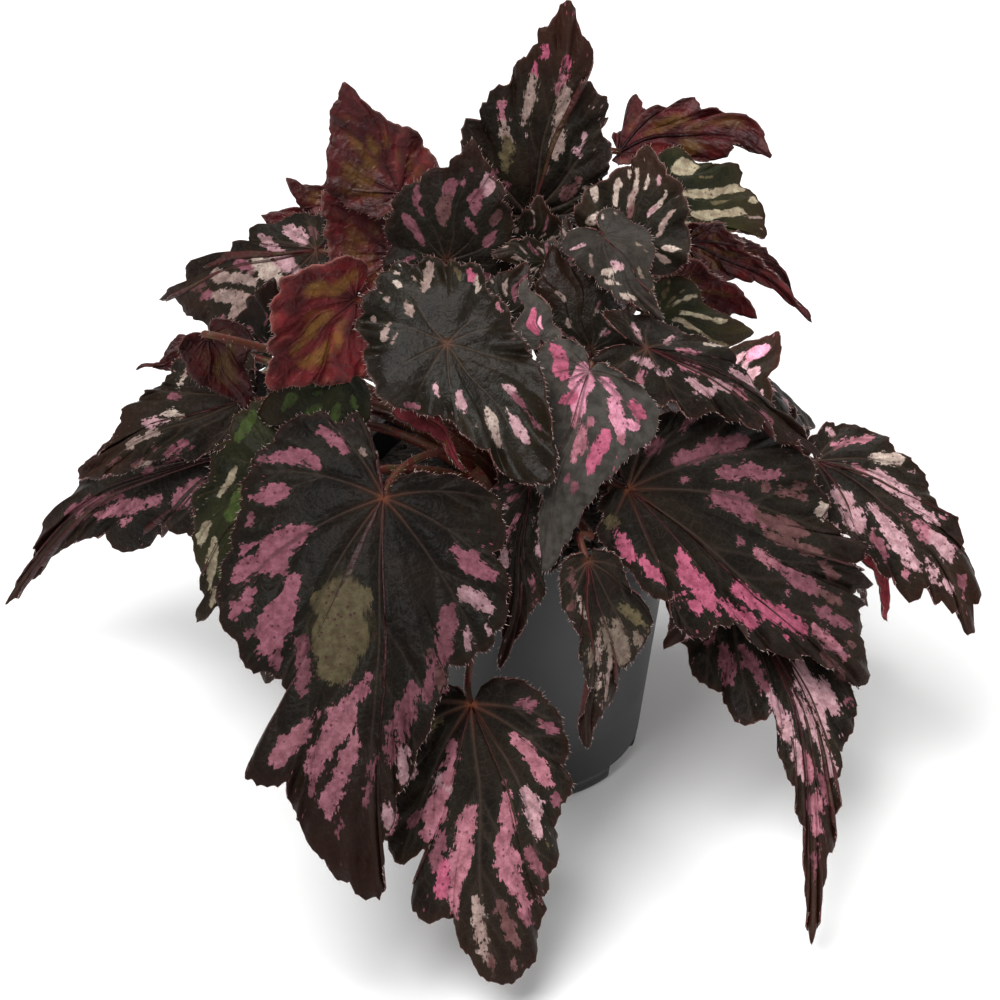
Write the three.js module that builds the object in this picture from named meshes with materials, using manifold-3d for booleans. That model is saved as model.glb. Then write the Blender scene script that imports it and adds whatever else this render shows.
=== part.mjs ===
// A potted rex begonia: many lobed, waved leaves on stalks from one rhizome, in a round nursery pot.
// Millimetres, +Z up, the pot stands on z = 0 with its axis on the Z axis, the seen front faces -Y.
import * as THREE from 'three';
import Module from 'manifold-3d';

const wasm = await Module();
wasm.setup();

// ---------------------------------------------------------------- driving dimensions (mm)
// Pot: a tapered round nursery pot with a rolled lip and a notched foot ring.
const POT_HEIGHT = 150;
const POT_BASE_RADIUS = 55;
const POT_TOP_RADIUS = 71.5;
const POT_WALL = 1.6;
const POT_SIDES = 40;
const RIM_DEPTH = 7;
const RIM_REACH = 2;
const RIM_ROUND = 1.2;
const FLOOR_THICK = 3;
const FLOOR_RADIUS = 43;
const FLOOR_SLOPE = 1.5;
const CHANNEL_HEIGHT = 9.5;
const CHANNEL_THICK = 1.8;
const FOOT_WIDTH = 2.6;
const FOOT_CHAMFER = 1.6;
const FOOT_CHAMFER_HEIGHT = 2.4;
const NOTCH_COUNT = 6;
const NOTCH_HALF_ANGLE = 13.5;
const NOTCH_HEIGHT = 8;
const NOTCH_ROUND = 2.2;
const NOTCH_STEPS = 4;
const NOTCH_FIRST_ANGLE = -28.5;

// Soil and what grows out of it; GAP is the clearance between pieces that touch.
const GAP = 0.35;
const SOIL_TOP = 137;
const SOIL_MOUND = 4;
const SOIL_SIDES = 24;
const RHIZOME_RADII = [30, 20, 13];
const RHIZOME_HEIGHT = 139;
const RHIZOME_LUMP = 0.05;
const ROOT_SPREAD = [0.16, 0.11];
const ROOT_LIMIT = [20, 12];
const ROOT_SINK = 3;

// Stalks: slim, four-sided, thinner towards the blade; one that leaves low passes over the rim.
const STALK_SIDES = 4;
const STALK_STEPS = 5;
const STALK_ROOT_RADIUS = 2.4;
const STALK_TOP_RADIUS = 1.5;
const STALK_REST = 0.45;
const STALK_HOOK = 12;
const OVER_RIM = 163;
const RIM_CLEARANCE = 6;

// Blades: a blade longer than LARGE_BLADE has one more ring of corners, and an outline side
// longer than LONG_SIDE leaf lengths is split. LOBE_BULGE rounds the sides outwards.
const BLADE_THICK = 0.8;
const LOBE_BULGE = 0.1;
const LARGE_BLADE = 135;
const LONG_SIDE = 0.26;
const SMALL_RINGS = [0.6, 1];
const LARGE_RINGS = [0.42, 0.76, 1];

// ---------------------------------------------------------------- small helpers
const rad = (degrees) => (degrees * Math.PI) / 180;
const mix = (a, b, k) => a + (b - a) * k;

function solid(name, vertices, faces, look) {
  const geometry = new THREE.BufferGeometry();
  geometry.setAttribute('position', new THREE.Float32BufferAttribute(vertices, 3));
  geometry.setIndex(faces);
  geometry.computeVertexNormals();
  const mesh = new THREE.Mesh(geometry, new THREE.MeshStandardMaterial(look));
  mesh.name = name;
  return mesh;
}

function toManifold(vertices, faces) {
  const mesh = new wasm.Mesh({
    numProp: 3,
    vertProperties: new Float32Array(vertices),
    triVerts: new Uint32Array(faces),
  });
  mesh.merge();
  return new wasm.Manifold(mesh);
}

function fromManifold(name, body, look) {
  const mesh = body.getMesh();
  return solid(name, Array.from(mesh.vertProperties), Array.from(mesh.triVerts), look);
}

// A closed profile of [radius, height] points, turned about the Z axis. The profile runs
// from the axis along the underside, up the outside and back to the axis over the top.
function turned(profile, sides) {
  const points = profile.map(([radius, height]) => new THREE.Vector2(radius, height));
  const lathe = new THREE.LatheGeometry(points, sides);
  lathe.rotateX(Math.PI / 2);
  const place = lathe.getAttribute('position');
  const index = lathe.getIndex();
  const keys = new Map();
  const vertices = [];
  const same = [];
  for (let i = 0; i < place.count; i += 1) {
    const point = [place.getX(i), place.getY(i), place.getZ(i)];
    const key = point.map((value) => Math.round(value * 1e4)).join(',');
    if (!keys.has(key)) {
      keys.set(key, vertices.length / 3);
      vertices.push(...point);
    }
    same.push(keys.get(key));
  }
  const faces = [];
  for (let i = 0; i < index.count; i += 3) {
    const corner = [0, 1, 2].map((k) => same[index.getX(i + k)]);
    if (corner[0] !== corner[1] && corner[1] !== corner[2] && corner[2] !== corner[0]) {
      faces.push(...corner);
    }
  }
  return { vertices, faces };
}

function volumeOf(vertices, faces) {
  let total = 0;
  const at = (i) => new THREE.Vector3(vertices[3 * i], vertices[3 * i + 1], vertices[3 * i + 2]);
  for (let i = 0; i < faces.length; i += 3) {
    total += at(faces[i]).dot(at(faces[i + 1]).cross(at(faces[i + 2]))) / 6;
  }
  return total;
}

function outward({ vertices, faces }) {
  if (volumeOf(vertices, faces) > 0) return { vertices, faces };
  const turnedFaces = [];
  for (let i = 0; i < faces.length; i += 3) turnedFaces.push(faces[i], faces[i + 2], faces[i + 1]);
  return { vertices, faces: turnedFaces };
}

// ---------------------------------------------------------------- pot and soil
const CHANNEL_TOP = CHANNEL_HEIGHT + CHANNEL_THICK;

function wallRadius(height) {
  return mix(POT_BASE_RADIUS, POT_TOP_RADIUS, height / POT_HEIGHT);
}

function potBody() {
  const inside = (height) => wallRadius(height) - POT_WALL;
  const lipStart = POT_HEIGHT - RIM_DEPTH;
  const profile = [
    [0, 0],
    [FLOOR_RADIUS, 0],
    [FLOOR_RADIUS + FLOOR_SLOPE, CHANNEL_HEIGHT],
    [POT_BASE_RADIUS - FOOT_WIDTH, CHANNEL_HEIGHT],
    [POT_BASE_RADIUS - FOOT_WIDTH, 0],
    [POT_BASE_RADIUS - FOOT_CHAMFER, 0],
    [POT_BASE_RADIUS, FOOT_CHAMFER_HEIGHT],
    [wallRadius(lipStart), lipStart],
    [wallRadius(lipStart) + RIM_REACH, lipStart + RIM_ROUND],
    [wallRadius(POT_HEIGHT) + RIM_REACH, POT_HEIGHT - RIM_ROUND],
    [wallRadius(POT_HEIGHT) + RIM_REACH - RIM_ROUND, POT_HEIGHT],
    [inside(POT_HEIGHT), POT_HEIGHT],
    [inside(CHANNEL_TOP), CHANNEL_TOP],
    [FLOOR_RADIUS, CHANNEL_TOP],
    [FLOOR_RADIUS - FLOOR_SLOPE, FLOOR_THICK],
    [0, FLOOR_THICK],
  ];
  const { vertices, faces } = outward(turned(profile, POT_SIDES));
  let body = toManifold(vertices, faces);
  for (let i = 0; i < NOTCH_COUNT; i += 1) {
    body = body.subtract(notchCutter(NOTCH_FIRST_ANGLE + (360 / NOTCH_COUNT) * i));
  }
  return body;
}

// A wedge through the foot ring whose ends slant inwards towards its top.
function notchCutter(middleAngle) {
  const rows = [[-1, 1], [NOTCH_HEIGHT - NOTCH_ROUND, 0.86], [NOTCH_HEIGHT, 0.6]];
  const steps = NOTCH_STEPS;
  const vertices = [];
  for (const [height, share] of rows) {
    for (const radius of [FLOOR_RADIUS + 4, POT_BASE_RADIUS + 6]) {
      for (let i = 0; i <= steps; i += 1) {
        const angle = rad(middleAngle + NOTCH_HALF_ANGLE * share * (-1 + (2 * i) / steps));
        vertices.push(radius * Math.cos(angle), radius * Math.sin(angle), height);
      }
    }
  }
  const at = (row, ring, i) => (row * 2 + ring) * (steps + 1) + i;
  const faces = [];
  const quad = (a, b, c, d) => faces.push(a, b, c, a, c, d);
  const last = rows.length - 1;
  for (let i = 0; i < steps; i += 1) {
    quad(at(0, 0, i), at(0, 0, i + 1), at(0, 1, i + 1), at(0, 1, i));
    quad(at(last, 0, i), at(last, 1, i), at(last, 1, i + 1), at(last, 0, i + 1));
    for (let row = 0; row < last; row += 1) {
      quad(at(row, 0, i), at(row + 1, 0, i), at(row + 1, 0, i + 1), at(row, 0, i + 1));
      quad(at(row, 1, i), at(row, 1, i + 1), at(row + 1, 1, i + 1), at(row + 1, 1, i));
    }
  }
  for (let row = 0; row < last; row += 1) {
    quad(at(row, 0, 0), at(row, 1, 0), at(row + 1, 1, 0), at(row + 1, 0, 0));
    quad(at(row, 0, steps), at(row + 1, 0, steps), at(row + 1, 1, steps), at(row, 1, steps));
  }
  const body = outward({ vertices, faces });
  return toManifold(body.vertices, body.faces);
}

function soilBody(hole) {
  const inside = (height) => wallRadius(height) - POT_WALL - 2 * GAP;
  const edge = SOIL_TOP - SOIL_MOUND / 2;
  const profile = [
    [0, FLOOR_THICK + GAP],
    [FLOOR_RADIUS - FLOOR_SLOPE - GAP, FLOOR_THICK + GAP],
    [FLOOR_RADIUS - GAP, CHANNEL_TOP + GAP],
    [inside(CHANNEL_TOP), CHANNEL_TOP + GAP],
    [inside(edge), edge],
    [inside(edge) * 0.86, SOIL_TOP + SOIL_MOUND * 0.2],
    [inside(edge) * 0.65, SOIL_TOP + SOIL_MOUND * 0.7],
    [0, SOIL_TOP + SOIL_MOUND],
  ];
  const { vertices, faces } = outward(turned(profile, SOIL_SIDES));
  return toManifold(vertices, faces).subtract(hole);
}

// ---------------------------------------------------------------- leaf outlines
// Half outlines as [along, across] in leaf lengths, from next to the tip (1, 0) to the slit where
// the stalk joins (0, 0). Every second point or so is a notch between two lobes.
const WING = [
  [0.84, 0.05], [0.74, 0.12], [0.7, 0.1], [0.6, 0.23], [0.5, 0.24], [0.38, 0.38], [0.27, 0.36],
  [0.12, 0.45], [0, 0.41], [-0.16, 0.41], [-0.27, 0.28], [-0.24, 0.12], [-0.1, 0.03],
];
const BROAD = [
  [0.87, 0.1], [0.8, 0.16], [0.76, 0.15], [0.66, 0.31], [0.58, 0.32], [0.42, 0.46], [0.3, 0.45],
  [0.12, 0.53], [0, 0.48], [-0.2, 0.45], [-0.31, 0.29], [-0.26, 0.12], [-0.1, 0.03],
];
const NARROW = [
  [0.82, 0.035], [0.68, 0.1], [0.62, 0.08], [0.5, 0.19], [0.42, 0.17], [0.3, 0.27], [0.19, 0.25],
  [0.04, 0.32], [-0.1, 0.27], [-0.18, 0.16], [-0.1, 0.03],
];
const TAILED = [
  [0.86, 0.02], [0.7, 0.03], [0.56, 0.06], [0.46, 0.13], [0.36, 0.2], [0.22, 0.24], [0.08, 0.29],
  [-0.06, 0.24], [-0.14, 0.12], [-0.09, 0.03],
];
const YOUNG = [
  [0.78, 0.1], [0.6, 0.17], [0.52, 0.18], [0.32, 0.31], [0.16, 0.32], [-0.05, 0.3], [-0.16, 0.17],
  [-0.1, 0.04],
];
// Outlines of the large leaves, one list for each half: left is the half across > 0.
const FRONT_LEFT = {
  left: [
    [0.93, 0.012], [0.86, 0.015], [0.74, 0.055], [0.62, 0.105], [0.51, 0.14], [0.42, 0.165],
    [0.385, 0.24], [0.3, 0.3], [0.2, 0.31], [0.14, 0.285], [0.08, 0.31], [0, 0.295],
    [-0.04, 0.235], [-0.06, 0.14], [-0.05, 0.035],
  ],
  right: [
    [0.95, -0.085], [0.88, -0.15], [0.78, -0.195], [0.71, -0.22], [0.7, -0.33], [0.625, -0.3],
    [0.54, -0.205], [0.5, -0.23], [0.45, -0.25], [0.415, -0.35], [0.35, -0.39], [0.285, -0.435],
    [0.2, -0.43], [0.13, -0.395], [0.03, -0.365], [-0.07, -0.345], [-0.13, -0.3],
    [-0.195, -0.24], [-0.225, -0.18], [-0.19, -0.13], [-0.215, -0.075], [-0.15, -0.035],
    [-0.06, -0.02],
  ],
};
const FRONT_LOW = {
  left: [
    [0.97, 0.12], [0.82, 0.19], [0.74, 0.235], [0.72, 0.2], [0.6, 0.27], [0.5, 0.3], [0.46, 0.27],
    [0.3, 0.34], [0.25, 0.31], [0.1, 0.34], [0, 0.28], [-0.08, 0.17], [-0.07, 0.05],
  ],
  right: [
    [0.91, -0.07], [0.74, -0.11], [0.74, -0.25], [0.56, -0.21], [0.46, -0.17], [0.54, -0.29],
    [0.39, -0.37], [0.28, -0.31], [0.13, -0.26], [-0.01, -0.2], [-0.08, -0.12], [-0.05, -0.03],
  ],
};
const RIGHT_LARGE = {
  left: [
    [0.95, 0.08], [0.87, 0.11], [0.85, 0.19], [0.79, 0.21], [0.83, 0.28], [0.72, 0.27],
    [0.75, 0.36], [0.65, 0.34], [0.58, 0.36], [0.55, 0.42], [0.47, 0.43], [0.4, 0.49],
    [0.29, 0.46], [0.16, 0.42], [0.05, 0.35], [-0.04, 0.24], [-0.08, 0.12], [-0.06, 0.03],
  ],
  right: [
    [0.89, -0.015], [0.77, -0.05], [0.68, -0.1], [0.6, -0.12], [0.52, -0.1], [0.46, -0.14],
    [0.43, -0.22], [0.38, -0.23], [0.3, -0.19], [0.23, -0.22], [0.14, -0.2], [0.05, -0.19],
    [-0.03, -0.12], [-0.05, -0.03],
  ],
};
const UPPER_RIGHT_RED = {
  left: [
    [0.8, 0.03], [0.76, 0.06], [0.72, 0.13], [0.61, 0.17], [0.47, 0.16], [0.27, 0.14],
    [0.14, 0.13], [0.02, 0.12], [-0.04, 0.05],
  ],
  right: [
    [0.95, -0.15], [0.9, -0.17], [0.77, -0.15], [0.68, -0.18], [0.56, -0.17], [0.47, -0.26],
    [0.33, -0.19], [0.18, -0.2], [0.14, -0.28], [0.08, -0.31], [0.04, -0.18], [-0.05, -0.08],
  ],
};
const RIGHT_GREEN = {
  left: [
    [0.99, 0.1], [0.95, 0.22], [0.87, 0.3], [0.75, 0.37], [0.68, 0.49], [0.59, 0.55],
    [0.46, 0.49], [0.35, 0.47], [0.24, 0.5], [0.1, 0.45], [-0.02, 0.32], [-0.08, 0.21],
    [-0.08, 0.05],
  ],
  right: [
    [0.81, -0.02], [0.75, -0.04], [0.64, -0.11], [0.48, -0.17], [0.32, -0.2], [0.16, -0.26],
    [-0.02, -0.23], [-0.09, -0.13], [-0.06, -0.03],
  ],
};
const RIGHT_HANGING = {
  left: [
    [0.92, 0.015], [0.86, 0.02], [0.79, 0.035], [0.74, 0.065], [0.68, 0.05], [0.65, 0.08],
    [0.59, 0.06], [0.55, 0.09], [0.5, 0.085], [0.46, 0.13], [0.38, 0.17], [0.31, 0.17],
    [0.22, 0.21], [0.1, 0.22], [0, 0.2], [-0.08, 0.12], [-0.05, 0.03],
  ],
  right: [
    [0.92, -0.015], [0.83, -0.02], [0.74, -0.025], [0.7, -0.025], [0.66, -0.045], [0.59, -0.035],
    [0.52, -0.065], [0.46, -0.08], [0.43, -0.06], [0.36, -0.07], [0.39, -0.135], [0.34, -0.19],
    [0.27, -0.17], [0.26, -0.22], [0.15, -0.22], [0.03, -0.18], [-0.06, -0.12], [-0.05, -0.03],
  ],
};
const FAR_RIGHT = {
  left: [
    [0.9, 0.1], [0.84, 0.145], [0.77, 0.15], [0.69, 0.13], [0.62, 0.195], [0.52, 0.16],
    [0.44, 0.21], [0.36, 0.275], [0.28, 0.275], [0.21, 0.255], [0.1, 0.3], [0, 0.26],
    [-0.08, 0.16], [-0.07, 0.04],
  ],
  right: [
    [0.93, -0.01], [0.87, -0.025], [0.81, -0.09], [0.73, -0.12], [0.7, -0.205], [0.58, -0.2],
    [0.48, -0.23], [0.4, -0.18], [0.33, -0.19], [0.22, -0.23], [0.1, -0.22], [0, -0.15],
    [-0.05, -0.04],
  ],
};
const FRONT_SMALL = {
  left: [
    [0.88, 0.03], [0.78, 0.09], [0.74, 0.17], [0.65, 0.13], [0.56, 0.22], [0.47, 0.3],
    [0.35, 0.35], [0.2, 0.25], [0.08, 0.2], [-0.04, 0.12], [-0.05, 0.03],
  ],
  right: [
    [0.93, -0.03], [0.76, -0.02], [0.66, 0], [0.54, -0.06], [0.38, -0.05], [0.26, -0.11],
    [0.12, -0.14], [0, -0.12], [-0.05, -0.03],
  ],
};
const CENTRE_FOLDED = {
  left: [
    [0.88, 0.07], [0.76, 0.12], [0.64, 0.18], [0.51, 0.24], [0.35, 0.33], [0.26, 0.42],
    [0.14, 0.42], [0.06, 0.36], [0, 0.22], [-0.04, 0.12], [-0.05, 0.03],
  ],
  right: [
    [0.92, -0.04], [0.79, -0.07], [0.65, -0.06], [0.52, -0.12], [0.4, -0.16], [0.3, -0.17],
    [0.25, -0.27], [0.13, -0.33], [0, -0.34], [-0.09, -0.25], [-0.12, -0.12], [-0.06, -0.03],
  ],
};
const CENTRE_DARK = {
  left: [
    [0.92, 0.1], [0.77, 0.18], [0.6, 0.24], [0.46, 0.3], [0.29, 0.33], [0.14, 0.38], [0, 0.4],
    [-0.14, 0.38], [-0.3, 0.36], [-0.38, 0.26],
  ],
  right: [
    [0.92, -0.11], [0.78, -0.17], [0.66, -0.18], [0.54, -0.25], [0.4, -0.26], [0.31, -0.29],
    [0.2, -0.38], [0.08, -0.45], [-0.04, -0.48], [-0.17, -0.44], [-0.29, -0.4], [-0.42, -0.34],
    [-0.48, -0.22], [-0.53, -0.1], [-0.57, 0.02], [-0.52, 0.12], [-0.48, 0.2], [-0.38, 0.26],
  ],
};
const TOP_UPRIGHT = {
  left: [
    [0.92, 0.05], [0.84, 0.13], [0.78, 0.12], [0.71, 0.19], [0.6, 0.21], [0.49, 0.3], [0.4, 0.29],
    [0.38, 0.35], [0.24, 0.34], [0.14, 0.28], [0, 0.22], [-0.08, 0.12], [-0.06, 0.03],
  ],
  right: [
    [0.91, -0.04], [0.83, -0.1], [0.74, -0.13], [0.65, -0.09], [0.62, -0.2], [0.51, -0.26],
    [0.46, -0.24], [0.37, -0.32], [0.24, -0.31], [0.1, -0.28], [-0.02, -0.2], [-0.08, -0.1],
    [-0.05, -0.03],
  ],
};
const TOP_LEFT_RED = {
  left: [
    [0.85, 0.02], [0.7, 0.07], [0.58, 0.14], [0.5, 0.24], [0.44, 0.33], [0.28, 0.38], [0.08, 0.5],
    [-0.06, 0.4], [-0.15, 0.22], [-0.08, 0.04],
  ],
  right: [
    [0.89, -0.13], [0.76, -0.27], [0.6, -0.4], [0.45, -0.46], [0.32, -0.52], [0.16, -0.48],
    [0, -0.38], [-0.12, -0.22], [-0.08, -0.04],
  ],
};
const LEFT_UPPER = {
  left: [
    [0.86, 0.01], [0.79, 0.12], [0.7, 0.18], [0.66, 0.26], [0.52, 0.29], [0.46, 0.27],
    [0.34, 0.3], [0.2, 0.28], [0.05, 0.26], [-0.08, 0.16], [-0.06, 0.04],
  ],
  right: [
    [0.88, -0.05], [0.81, -0.05], [0.75, -0.09], [0.67, -0.11], [0.63, -0.04], [0.52, -0.09],
    [0.42, -0.13], [0.37, -0.11], [0.25, -0.21], [0.09, -0.24], [-0.04, -0.18], [-0.06, -0.05],
  ],
};
const LEFT_MIDDLE = {
  left: [
    [0.94, 0.03], [0.84, 0.05], [0.7, 0.1], [0.59, 0.11], [0.45, 0.15], [0.3, 0.18], [0.14, 0.17],
    [0, 0.16], [-0.07, 0.1], [-0.05, 0.03],
  ],
  right: [
    [0.94, -0.05], [0.8, -0.06], [0.72, -0.09], [0.67, -0.15], [0.56, -0.21], [0.57, -0.24],
    [0.48, -0.25], [0.4, -0.26], [0.37, -0.32], [0.27, -0.37], [0.21, -0.44], [0.11, -0.46],
    [0, -0.38], [-0.07, -0.2], [-0.06, -0.04],
  ],
};
const LEFT_LONG_TAIL = {
  left: [
    [0.87, 0.02], [0.78, 0.02], [0.72, 0.03], [0.65, 0.05], [0.58, 0.08], [0.52, 0.1],
    [0.52, 0.16], [0.44, 0.18], [0.42, 0.14], [0.37, 0.17], [0.33, 0.14], [0.25, 0.2],
    [0.14, 0.22], [0.02, 0.19], [-0.06, 0.1], [-0.05, 0.03],
  ],
  right: [
    [0.9, -0.01], [0.78, -0.02], [0.7, -0.07], [0.64, -0.05], [0.56, -0.1], [0.45, -0.12],
    [0.36, -0.16], [0.26, -0.15], [0.12, -0.17], [0, -0.15], [-0.06, -0.08], [-0.05, -0.03],
  ],
};

// ---------------------------------------------------------------- finishes
const FINISHES = {
  pot_plastic: { color: 0x2c2e30, roughness: 0.55, metalness: 0 },
  soil: { color: 0x2b1f17, roughness: 0.95, metalness: 0 },
  stalk: { color: 0x5a2420, roughness: 0.6, metalness: 0 },
  leaf_pink_splashed: { color: 0x5b2a3a, roughness: 0.5, metalness: 0 },
  leaf_silver_splashed: { color: 0x4e4644, roughness: 0.5, metalness: 0 },
  leaf_dark: { color: 0x1d211d, roughness: 0.45, metalness: 0 },
  leaf_green_striped: { color: 0x55603f, roughness: 0.5, metalness: 0 },
  leaf_red_back: { color: 0x6e2322, roughness: 0.55, metalness: 0 },
};

// ---------------------------------------------------------------- the leaves
// joint: where the stalk meets the blade, tip: the blade's tip, face: the way its upper side looks.
// arch: rise of the midrib over the joint-tip line, bow: the same sideways, both in leaf lengths.
// fold: how far each half turns down at the midrib, cup: how much more by one leaf length, degrees.
// wave: height of the margin's waves in mm, waves: how many, wide: width of the left and right half.
// Some leaves also have: closed: the blade runs all round its joint, with no slit.
// root: where the stalk leaves the rhizome, over: a point that it passes on its way out.
// rise: how steeply it leaves (1 is upright), climb and hang: how long it keeps its way at the
// root and at the blade, lean: its way into the blade, [along the midrib, square to the blade].
const LEAVES = [
  { name: 'leaf_front_left', finish: 'leaf_pink_splashed', outline: FRONT_LEFT, wide: [1, 1],
    joint: [-57, -95, 200], tip: [-59, -198, 70], face: [-0.05, -0.8, 0.6],
    arch: 0.07, bow: 0, fold: 4, cup: 22, wave: 3, waves: 7 },
  { name: 'leaf_front_low', finish: 'leaf_pink_splashed', outline: FRONT_LOW, wide: [1, 1],
    joint: [-21, -129, 118], tip: [-13, -194, 20], face: [0.1, -0.8, 0.5],
    arch: 0.06, bow: 0, fold: 10, cup: 15, wave: 3, waves: 7 },
  { name: 'leaf_right_large', finish: 'leaf_pink_splashed', outline: RIGHT_LARGE, wide: [1, 1],
    joint: [46, -58, 178], tip: [149, -75, 82], face: [0.4, -0.75, 0.55],
    arch: 0.08, bow: 0, fold: 6, cup: 15, wave: 3, waves: 8 },
  { name: 'leaf_far_right', finish: 'leaf_pink_splashed', outline: FAR_RIGHT, wide: [1, 1],
    joint: [130, -5, 156], tip: [197, -48, 96], face: [0.25, -0.65, 0.7],
    arch: 0.1, bow: 0.08, fold: 8, cup: 20, wave: 2.5, waves: 7 },
  { name: 'leaf_right_hanging', finish: 'leaf_pink_splashed', outline: RIGHT_HANGING, wide: [1, 1],
    joint: [94, -37, 110], tip: [123, -161, 12], face: [0.1, -0.85, 0.5],
    arch: 0.03, bow: 0.1, fold: 12, cup: 20, wave: 3, waves: 7 },
  { name: 'leaf_front_small', finish: 'leaf_silver_splashed', outline: FRONT_SMALL, wide: [1, 1],
    joint: [28, -92, 165], tip: [29, -111, 80], face: [0.3, -0.9, 0.2],
    arch: 0.04, bow: 0, fold: 12, cup: 15, wave: 2, waves: 5,
    over: [29, -74, 165] },
  { name: 'leaf_centre_folded', finish: 'leaf_pink_splashed', outline: CENTRE_FOLDED, wide: [1, 1],
    joint: [28, -54, 235], tip: [9, -91, 165], face: [-0.1, -0.8, 0.6],
    arch: 0.08, bow: 0, fold: 30, cup: 10, wave: 2, waves: 5,
    climb: 0.6, hang: 0.15, lean: [0.7, 0.6], root: [0, -11] },
  { name: 'leaf_centre_dark', finish: 'leaf_dark', outline: CENTRE_DARK, wide: [1, 1],
    joint: [-31, -48, 245], tip: [11, -88, 205], face: [-0.1, -0.6, 0.8],
    arch: 0.02, bow: 0, fold: -4, cup: 10, wave: 2, waves: 7,
    closed: true },
  { name: 'leaf_top_upright', finish: 'leaf_silver_splashed', outline: TOP_UPRIGHT, wide: [1, 1],
    joint: [4, 56, 245], tip: [22, 86, 335], face: [0, -0.9, 0.4],
    arch: 0.02, bow: 0, fold: -4, cup: 0, wave: 2, waves: 6 },
  { name: 'leaf_top_left_red', finish: 'leaf_red_back', outline: TOP_LEFT_RED, wide: [1, 1],
    joint: [-53, 52, 259], tip: [-74, 68, 304], face: [0.2, 0.9, -0.2],
    arch: 0.05, bow: 0, fold: 10, cup: 5, wave: 2, waves: 5,
    lean: [1, 0.2] },
  { name: 'leaf_left_red', finish: 'leaf_red_back', outline: BROAD, wide: [1.2, 1.3],
    joint: [-71, -1, 238], tip: [-106, -11, 200], face: [-0.4, 0.8, -0.2],
    arch: 0.05, bow: 0, fold: 10, cup: 5, wave: 2, waves: 5,
    lean: [0.5, 0.85] },
  { name: 'leaf_left_upper', finish: 'leaf_silver_splashed', outline: LEFT_UPPER, wide: [1, 1],
    joint: [-92, 76, 215], tip: [-166, 108, 170], face: [-0.2, -0.6, 0.75],
    arch: 0.08, bow: 0, fold: 10, cup: 15, wave: 2.5, waves: 6 },
  { name: 'leaf_left_middle', finish: 'leaf_silver_splashed', outline: LEFT_MIDDLE, wide: [1, 1],
    joint: [-122, 22, 170], tip: [-201, 27, 125], face: [-0.3, -0.6, 0.7],
    arch: 0.08, bow: 0, fold: 10, cup: 15, wave: 2.5, waves: 6 },
  { name: 'leaf_left_long_tail', finish: 'leaf_pink_splashed', outline: LEFT_LONG_TAIL, wide: [1, 1],
    joint: [-128, 22, 140], tip: [-245, 58, 30], face: [-0.3, -0.7, 0.6],
    arch: 0.03, bow: -0.09, fold: 10, cup: 15, wave: 3, waves: 7 },
  { name: 'leaf_upper_centre', finish: 'leaf_pink_splashed', outline: BROAD, wide: [1.1, 1.1],
    joint: [-32, 25, 241], tip: [-21, 44, 289], face: [0, -0.8, 0.6],
    arch: 0.03, bow: 0, fold: 5, cup: 5, wave: 2, waves: 6 },
  { name: 'leaf_upper_right_red', finish: 'leaf_red_back', outline: UPPER_RIGHT_RED, wide: [1, 1],
    joint: [46, 138, 230], tip: [116, 140, 226], face: [0, 0.7, -0.7],
    arch: 0.04, bow: -0.16, fold: 5, cup: 5, wave: 2, waves: 6,
    lean: [0.8, 0.6] },
  { name: 'leaf_right_green', finish: 'leaf_green_striped', outline: RIGHT_GREEN, wide: [1, 1],
    joint: [59, 110, 222], tip: [113, 113, 198], face: [0.2, -0.6, 0.7],
    arch: 0.03, bow: 0, fold: 5, cup: 5, wave: 2, waves: 6,
    rise: 0.6 },
  { name: 'leaf_curly_fan', finish: 'leaf_silver_splashed', outline: BROAD, wide: [1.2, 1.2],
    joint: [48, 35, 245], tip: [56, 52, 280], face: [0, -0.7, 0.7],
    arch: 0.02, bow: 0, fold: -5, cup: 0, wave: 3, waves: 9 },
  { name: 'leaf_dark_folded', finish: 'leaf_silver_splashed', outline: WING, wide: [1, 0.9],
    joint: [35, 10, 262], tip: [57, -17, 238], face: [-0.1, -0.6, 0.8],
    arch: 0.1, bow: 0, fold: 25, cup: 10, wave: 2, waves: 5 },
  { name: 'leaf_right_red_tail', finish: 'leaf_red_back', outline: TAILED, wide: [0.8, 0.8],
    joint: [76, 92, 210], tip: [137, 95, 166], face: [0.4, 0.8, -0.2],
    arch: 0.1, bow: 0, fold: 10, cup: 5, wave: 1.5, waves: 5,
    over: [52, 84, 182], rise: 0.4, climb: 0.3, lean: [0.5, 0.85] },
  { name: 'leaf_right_red_curl', finish: 'leaf_red_back', outline: TAILED, wide: [1, 1],
    joint: [80, 131, 175], tip: [133, 143, 142], face: [0.4, 0.8, -0.2],
    arch: 0.1, bow: -0.2, fold: 10, cup: 5, wave: 1.5, waves: 5,
    rise: 0.15, climb: 0.3, lean: [0.8, 0.4] },
  { name: 'leaf_right_brown', finish: 'leaf_red_back', outline: YOUNG, wide: [1.3, 1.3],
    joint: [65, 68, 200], tip: [103, 73, 185], face: [0.5, 0.8, -0.1],
    arch: 0.1, bow: 0, fold: 10, cup: 5, wave: 1.5, waves: 5,
    over: [50, 58, 178], rise: 0.3, lean: [0.5, 0.85] },
  { name: 'leaf_right_olive', finish: 'leaf_green_striped', outline: YOUNG, wide: [1.2, 1.2],
    joint: [57, 44, 200], tip: [101, 53, 185], face: [0.2, -0.6, 0.7],
    arch: 0.05, bow: 0, fold: 5, cup: 5, wave: 1.5, waves: 5 },
  { name: 'leaf_right_pale_pink', finish: 'leaf_pink_splashed', outline: YOUNG, wide: [1.5, 1.5],
    joint: [89, 0, 185], tip: [112, 12, 213], face: [0, -0.8, 0.6],
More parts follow.
